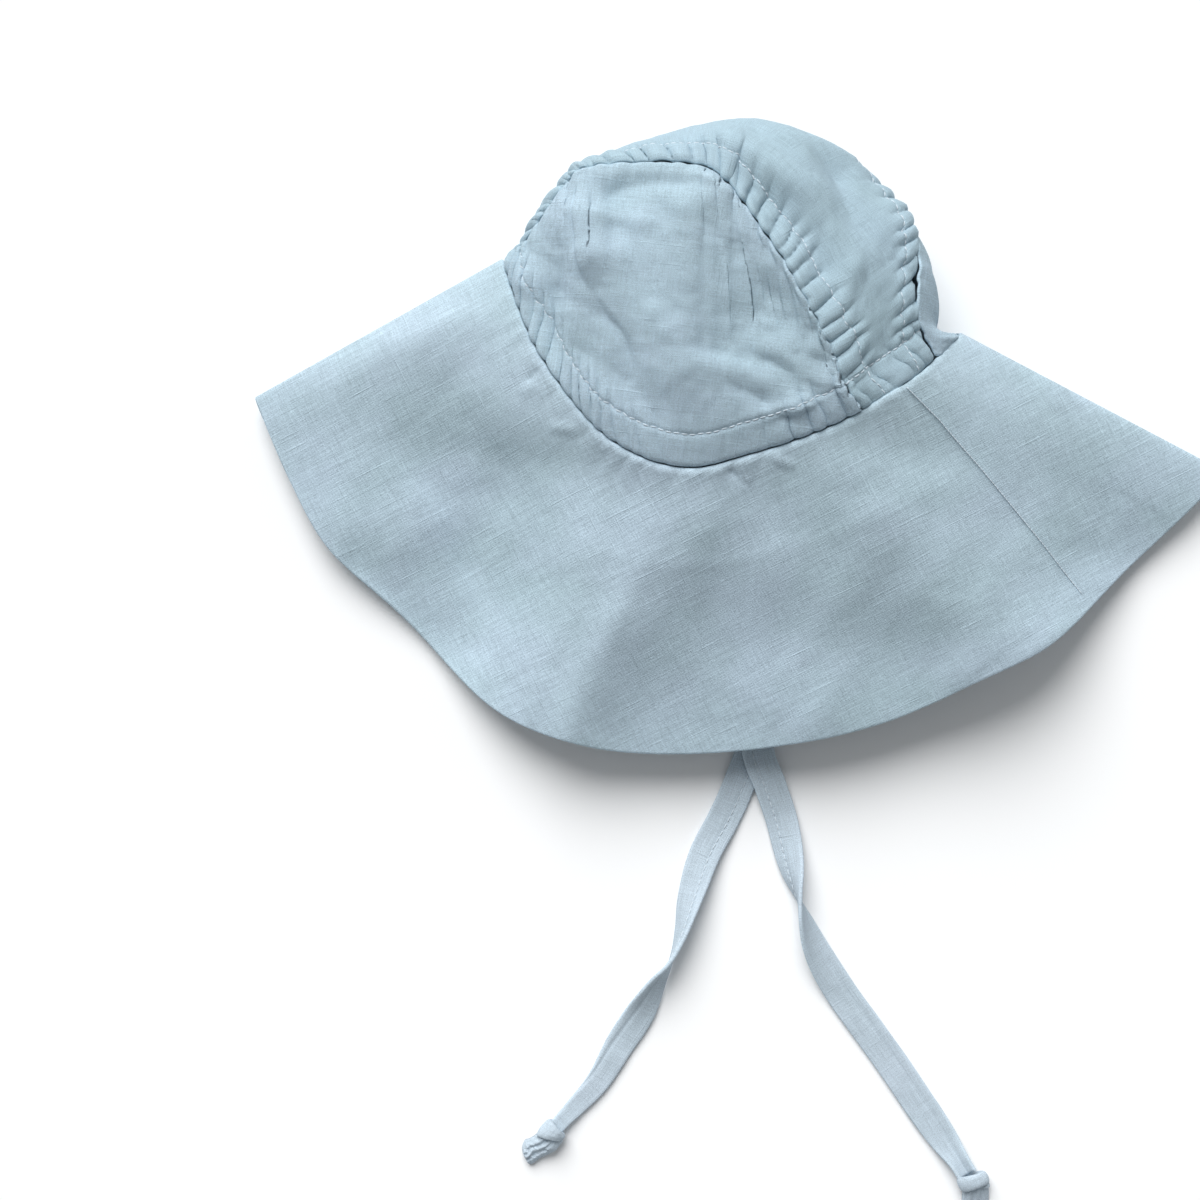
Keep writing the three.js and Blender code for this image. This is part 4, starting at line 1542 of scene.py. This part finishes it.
@dataclass
class Knot:
    """An overhand knot at the end of a tie: a smooth wrap and the tail that fans out from under it."""

    name: str
    node: str
    start: Point
    middle: Point
    end: Point
    wraps: tuple[KnotWrap, ...]
    tail: tuple[KnotRib, ...]
    creases: float = 0.5
    crumple: float = 0.25
    pleats: float = 3.4
    fan: float = 0.25
    slices: int = 110
    sides: int = 48
    seed: int = 61

    def place(self, local: Array) -> Array:
        """Puts points of the knot's own frame on the table.

        Args:
            local: Points along the knot, to its right and up from the table.

        Returns:
            The points in the hat's frame.
        """
        along = np.array(self.end) - np.array(self.start)
        along[2] = 0
        along = unit(along)
        right = np.array([-along[1], along[0], 0.0])
        points = np.array([self.middle[0], self.middle[1], 0.0]) + local[..., :1] * along
        points = points + local[..., 1:2] * right
        points[..., 2] = np.maximum(local[..., 2], 0.05)
        return points

    def wrap(self, band: KnotWrap, seed: int) -> tuple[Array, Array]:
        """Gives a band wound once round the knot.

        Args:
            band: Where it runs and how big it is.
            seed: Which of the like crumples its cloth has.

        Returns:
            The band's corners and faces.
        """
        turn, around = np.meshgrid(
            np.linspace(0, 2 * math.pi, self.slices, endpoint=False),
            np.linspace(0, 2 * math.pi, self.sides, endpoint=False), indexing="ij")
        share = 0.5 + 0.5 * np.cos(turn)
        breadth = band.left_breadth + (band.right_breadth - band.left_breadth) * share
        crumple = 0.5 * self.crumple * mottle(2.2 * np.cos(turn) + 7, around * 1.3, seed)
        out = band.bulk * (np.sign(np.sin(around)) * np.abs(np.sin(around)) ** 0.8) + crumple
        beside = (band.half_side + out) * np.cos(turn)
        along = band.along + band.lean * beside + breadth / 2 * np.cos(around)
        up = band.half_height + band.bulk + (band.half_height + out) * np.sin(turn)
        local = np.stack([along, band.beside + beside, up], axis=-1)
        return self.place(local), self._loft_faces(self.slices, self.sides, closed=True)

    def tail_shell(self) -> tuple[Array, Array]:
        """Gives the tail, domed over its breadth, with pleats that run out from the wrap.

        Returns:
            The tail's corners and faces.
        """
        station, share = np.meshgrid(
            np.linspace(0, len(self.tail) - 1, self.slices), np.linspace(0, 1, self.sides), indexing="ij")
        left = read_track(self.tail, station, "left_along", "left_side", "height")
        right = read_track(self.tail, station, "right_along", "right_side", "height")
        local = left + (right - left) * share[..., None]
        gone = station / (len(self.tail) - 1)
        dome = np.maximum(hump(share), 0) ** 0.5
        pleat = np.cos(2 * math.pi * (self.pleats * share + self.fan * gone))
        cloth = Crumple(3.2, self.crumple * 2, self.seed, 1.0, 0.0, True)
        crumple = cloth.relief(local[..., 0], local[..., 1])
        folds = self.creases * pleat * (1 - 0.75 * gone) + crumple * step_up(gone, 0.2, 0.9)
        top = local.copy()
        top[..., 2] = local[..., 2] * (0.35 + 0.65 * dome) + folds * dome
        under = local.copy()
        under[..., 2] = np.maximum(0.1, top[..., 2] * 0.25 - 0.6)
        ring = np.concatenate([top, under[:, ::-1]], axis=1)
        return self.place(ring), self._loft_faces(self.slices, 2 * self.sides, closed=False)

    @staticmethod
    def _loft_faces(rows: int, sides: int, closed: bool) -> Array:
        """Gives the faces between rings of corners.

        Args:
            rows: How many rings there are.
            sides: How many corners a ring has.
            closed: Whether the last ring joins the first.

        Returns:
            Four corner numbers for each face.
        """
        numbers = np.arange(rows * sides).reshape(rows, sides)
        if closed:
            numbers = np.concatenate([numbers, numbers[:1]])
        turned = np.roll(numbers, -1, axis=1)
        found = [np.stack([numbers[:-1], turned[:-1], turned[1:], numbers[1:]], axis=-1).reshape(-1, 4)]
        if not closed:
            half = sides // 2
            for line, flip in ((numbers[0], True), (numbers[-1], False)):
                a, b = line[:half - 1], line[1:half]
                c, d = line[::-1][1:half], line[::-1][:half - 1]
                cap = np.stack([a, b, c, d], axis=-1)
                found.append(cap[:, ::-1] if flip else cap)
        return np.concatenate(found)

    def build(self) -> bpy.types.Object:
        """Makes the knot as one piece.

        Returns:
            The piece.
        """
        shells = [self.tail_shell()]
        shells += [self.wrap(band, self.seed + number) for number, band in enumerate(self.wraps)]
        corners: list[Array] = []
        faces: list[Array] = []
        grains: list[Array] = []
        count = 0
        for points, found in shells:
            flat = points.reshape(-1, 3)
            found = ClothSheet.face_out(flat - flat.mean(axis=0), found)
            corners.append(flat)
            faces.append(found + count)
            steps = arc_lengths(points, 0)[..., None], arc_lengths(points, 1)[..., None]
            grains.append(np.concatenate([*steps, np.zeros_like(steps[0])], axis=-1).reshape(-1, 3))
            count += len(flat)
        joined = np.concatenate(corners)
        plain = np.zeros(len(joined))
        grain = np.concatenate(grains)
        piece = make_piece(self.name, joined, np.concatenate(faces), grain, plain, TIE_LINEN)
        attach(piece, BODY)
        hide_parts(self.node)
        return piece


KNOT_LEFT = Knot(
    "knot_left_cloth", "knot_left", (-61, -236, 3), (-66, -242, 4.4), (-74, -252, 1.4),
    wraps=(
        KnotWrap(-1.7, -0.2, 3.1, 2.5, 7.6, 3.4, -0.18, 1.3),
        KnotWrap(1.6, 2.0, 1.9, 1.7, 4.5, 6.2, -0.28, 0.9),
    ),
    tail=(
        KnotRib(-1.5, -2.8, -3.0, 3.2, 4.6),
        KnotRib(2.0, -3.7, -0.5, 4.6, 5.2),
        KnotRib(4.2, -4.2, 2.5, 4.9, 4.9),
        KnotRib(5.8, -4.9, 5.2, 4.0, 4.0),
        KnotRib(7.0, -5.6, 8.6, 2.4, 3.3),
        KnotRib(9.2, -5.0, 11.6, 1.6, 2.8),
        KnotRib(10.8, -3.6, 12.6, 0.6, 2.0),
    ),
    creases=0.6, crumple=0.7,
)
KNOT_RIGHT = Knot(
    "knot_right_cloth", "knot_right", (76.5, -250.5, 3), (81.5, -258.5, 4.4), (85, -271, 1.4),
    wraps=(
        KnotWrap(-0.9, 0.5, 4.2, 2.5, 5.6, 4.6, 0.10, 1.3),
        KnotWrap(1.1, 2.8, 1.9, 1.8, 3.2, 4.0, 0.25, 0.8),
    ),
    tail=(
        KnotRib(-2.0, -3.0, -1.5, 3.6, 4.6),
        KnotRib(1.6, -4.2, 1.6, 5.0, 4.9),
        KnotRib(4.0, -5.3, 4.8, 4.4, 3.8),
        KnotRib(7.0, -6.3, 8.6, 2.9, 2.4),
        KnotRib(10.0, -7.0, 12.0, 2.2, 1.8),
        KnotRib(12.2, -7.5, 14.4, 1.8, 1.5),
    ),
    creases=0.35, crumple=0.12, seed=71,
)


@dataclass
class Studio:
    """The pale floor, the soft light from above the picture and the camera straight over the hat."""

    camera_over: tuple[float, float] = (-0.0485, -0.055)
    camera_height: float = 1.0
    seen_width: float = 0.42
    sensor: float = 36.0
    floor_size: float = 3.0
    floor_drop: float = 0.0003
    window_from: float = 107.0
    window_rise: float = 42.0
    window_breadth: float = 45.0
    window_strength: float = 3.55
    room_light: float = 0.3

    def camera(self) -> None:
        """Sets the camera that looks straight down."""
        data = bpy.data.cameras.new("camera")
        data.sensor_width = self.sensor
        data.lens = self.sensor * self.camera_height / self.seen_width
        camera = bpy.data.objects.new("camera", data)
        camera.location = (*self.camera_over, self.camera_height)
        bpy.context.scene.collection.objects.link(camera)
        bpy.context.scene.camera = camera

    def floor(self) -> None:
        """Lays the pale floor just under the hat."""
        half = self.floor_size
        sides = ((-half, -half), (half, -half), (half, half), (-half, half))
        corners = [(*side, -self.floor_drop) for side in sides]
        mesh = bpy.data.meshes.new("floor")
        mesh.from_pydata(corners, [], [(0, 1, 2, 3)])
        material = bpy.data.materials.new("floor_paint")
        make = Maker(material)
        shader = make.node("ShaderNodeBsdfPrincipled")
        make.feed(shader, "Base Color", (0.97, 0.975, 0.98, 1.0))
        make.feed(shader, "Roughness", 0.95)
        out = make.node("ShaderNodeOutputMaterial")
        make.feed(out, 0, shader.outputs[0])
        mesh.materials.append(material)
        floor = bpy.data.objects.new("floor", mesh)
        bpy.context.scene.collection.objects.link(floor)

    def window(self) -> None:
        """Adds the broad light that comes from behind the crown."""
        data = bpy.data.lights.new("window", "SUN")
        data.energy = self.window_strength
        data.angle = math.radians(self.window_breadth)
        lamp = bpy.data.objects.new("window", data)
        turn, rise = math.radians(self.window_from), math.radians(self.window_rise)
        toward = Vector((math.cos(turn) * math.cos(rise), math.sin(turn) * math.cos(rise), math.sin(rise)))
        lamp.rotation_mode = "QUATERNION"
        lamp.rotation_quaternion = (-toward).to_track_quat("-Z", "Y")
        lamp.location = toward
        bpy.context.scene.collection.objects.link(lamp)

    def light(self) -> None:
        """Sets the soft light: a window behind the crown and a pale room, shown without a film curve."""
        self.window()
        world = bpy.data.worlds.new("room")
        world.use_nodes = True
        shade = world.node_tree.nodes["Background"]
        shade.inputs[0].default_value = (0.95, 0.98, 1.0, 1.0)
        shade.inputs[1].default_value = self.room_light
        bpy.context.scene.world = world
        bpy.context.scene.view_settings.view_transform = "Standard"


def tie_with_knot(tie: Tie, knot: Knot, stitching: Stitching) -> None:
    """Args:
        tie: The tie.
        knot: The knot at its end.
        stitching: Where the tie's stitches go.
    """
    piece, grid = tie.build()
    end = knot.build()
    stitching.follow(grid, Edge.START, tie.stitch_line)
    path = tie.center(np.linspace(0, tie.last, 160)) * MM


def main() -> None:
    """Builds the studio, the ties, the crown and the brim in order, and reports each piece."""
    logging.basicConfig(level=logging.INFO, format="%(name)s: %(message)s")
    studio = Studio()
    studio.camera()
    stitching = Stitching()
    tie_with_knot(
        Tie(
            tucked=TiePoint(-64.5, -239.5, 2.4, 180), end_share=0.5, narrow_from=4.5, curl=0.2,
            stitch_line=7.3,
        ),
        KNOT_LEFT,
        stitching,
    )
    tie_with_knot(
        Tie(
            route=TIE_RIGHT, name="tie_right", nodes=("tie_right",), last=float(len(TIE_RIGHT) - 1), seed=43,
            tucked=TiePoint(79.5, -255.5, 2.2, 180), end_share=0.62, narrow_from=1.9, curl=2.0,
        ),
        KNOT_RIGHT,
        stitching,
    )
    brim = Brim()
    _, grid = brim.build()
    seam_thread = Stitching(name="brim_seam_thread", pitch=1.3, length=1.6, radius=0.17, lift=0.3)
    seam_thread.trace(grid, brim.piece_seam.line)
    seam_thread.build()
    _, center = CenterPanel().build()
    stitching.follow(center, Edge.START, CASING)
    stitching.follow(center, Edge.END, CASING)
    stitching.follow(center, Edge.LAST_ROW, BAND)
    _, upper = SidePanel().build()
    stitching.follow(upper, Edge.START, BAND)
    SidePanel(
        side=Side.LOWER, name="crown_side_panel_lower", nodes=("crown_side_panel_lower",),
        along=240, across=60, first=0.03, last=CROWN_END - 0.03, faces_down=True,
    ).build()
    stitching.build()
    studio.floor()
    studio.light()


if __name__ == "__main__":
    main()
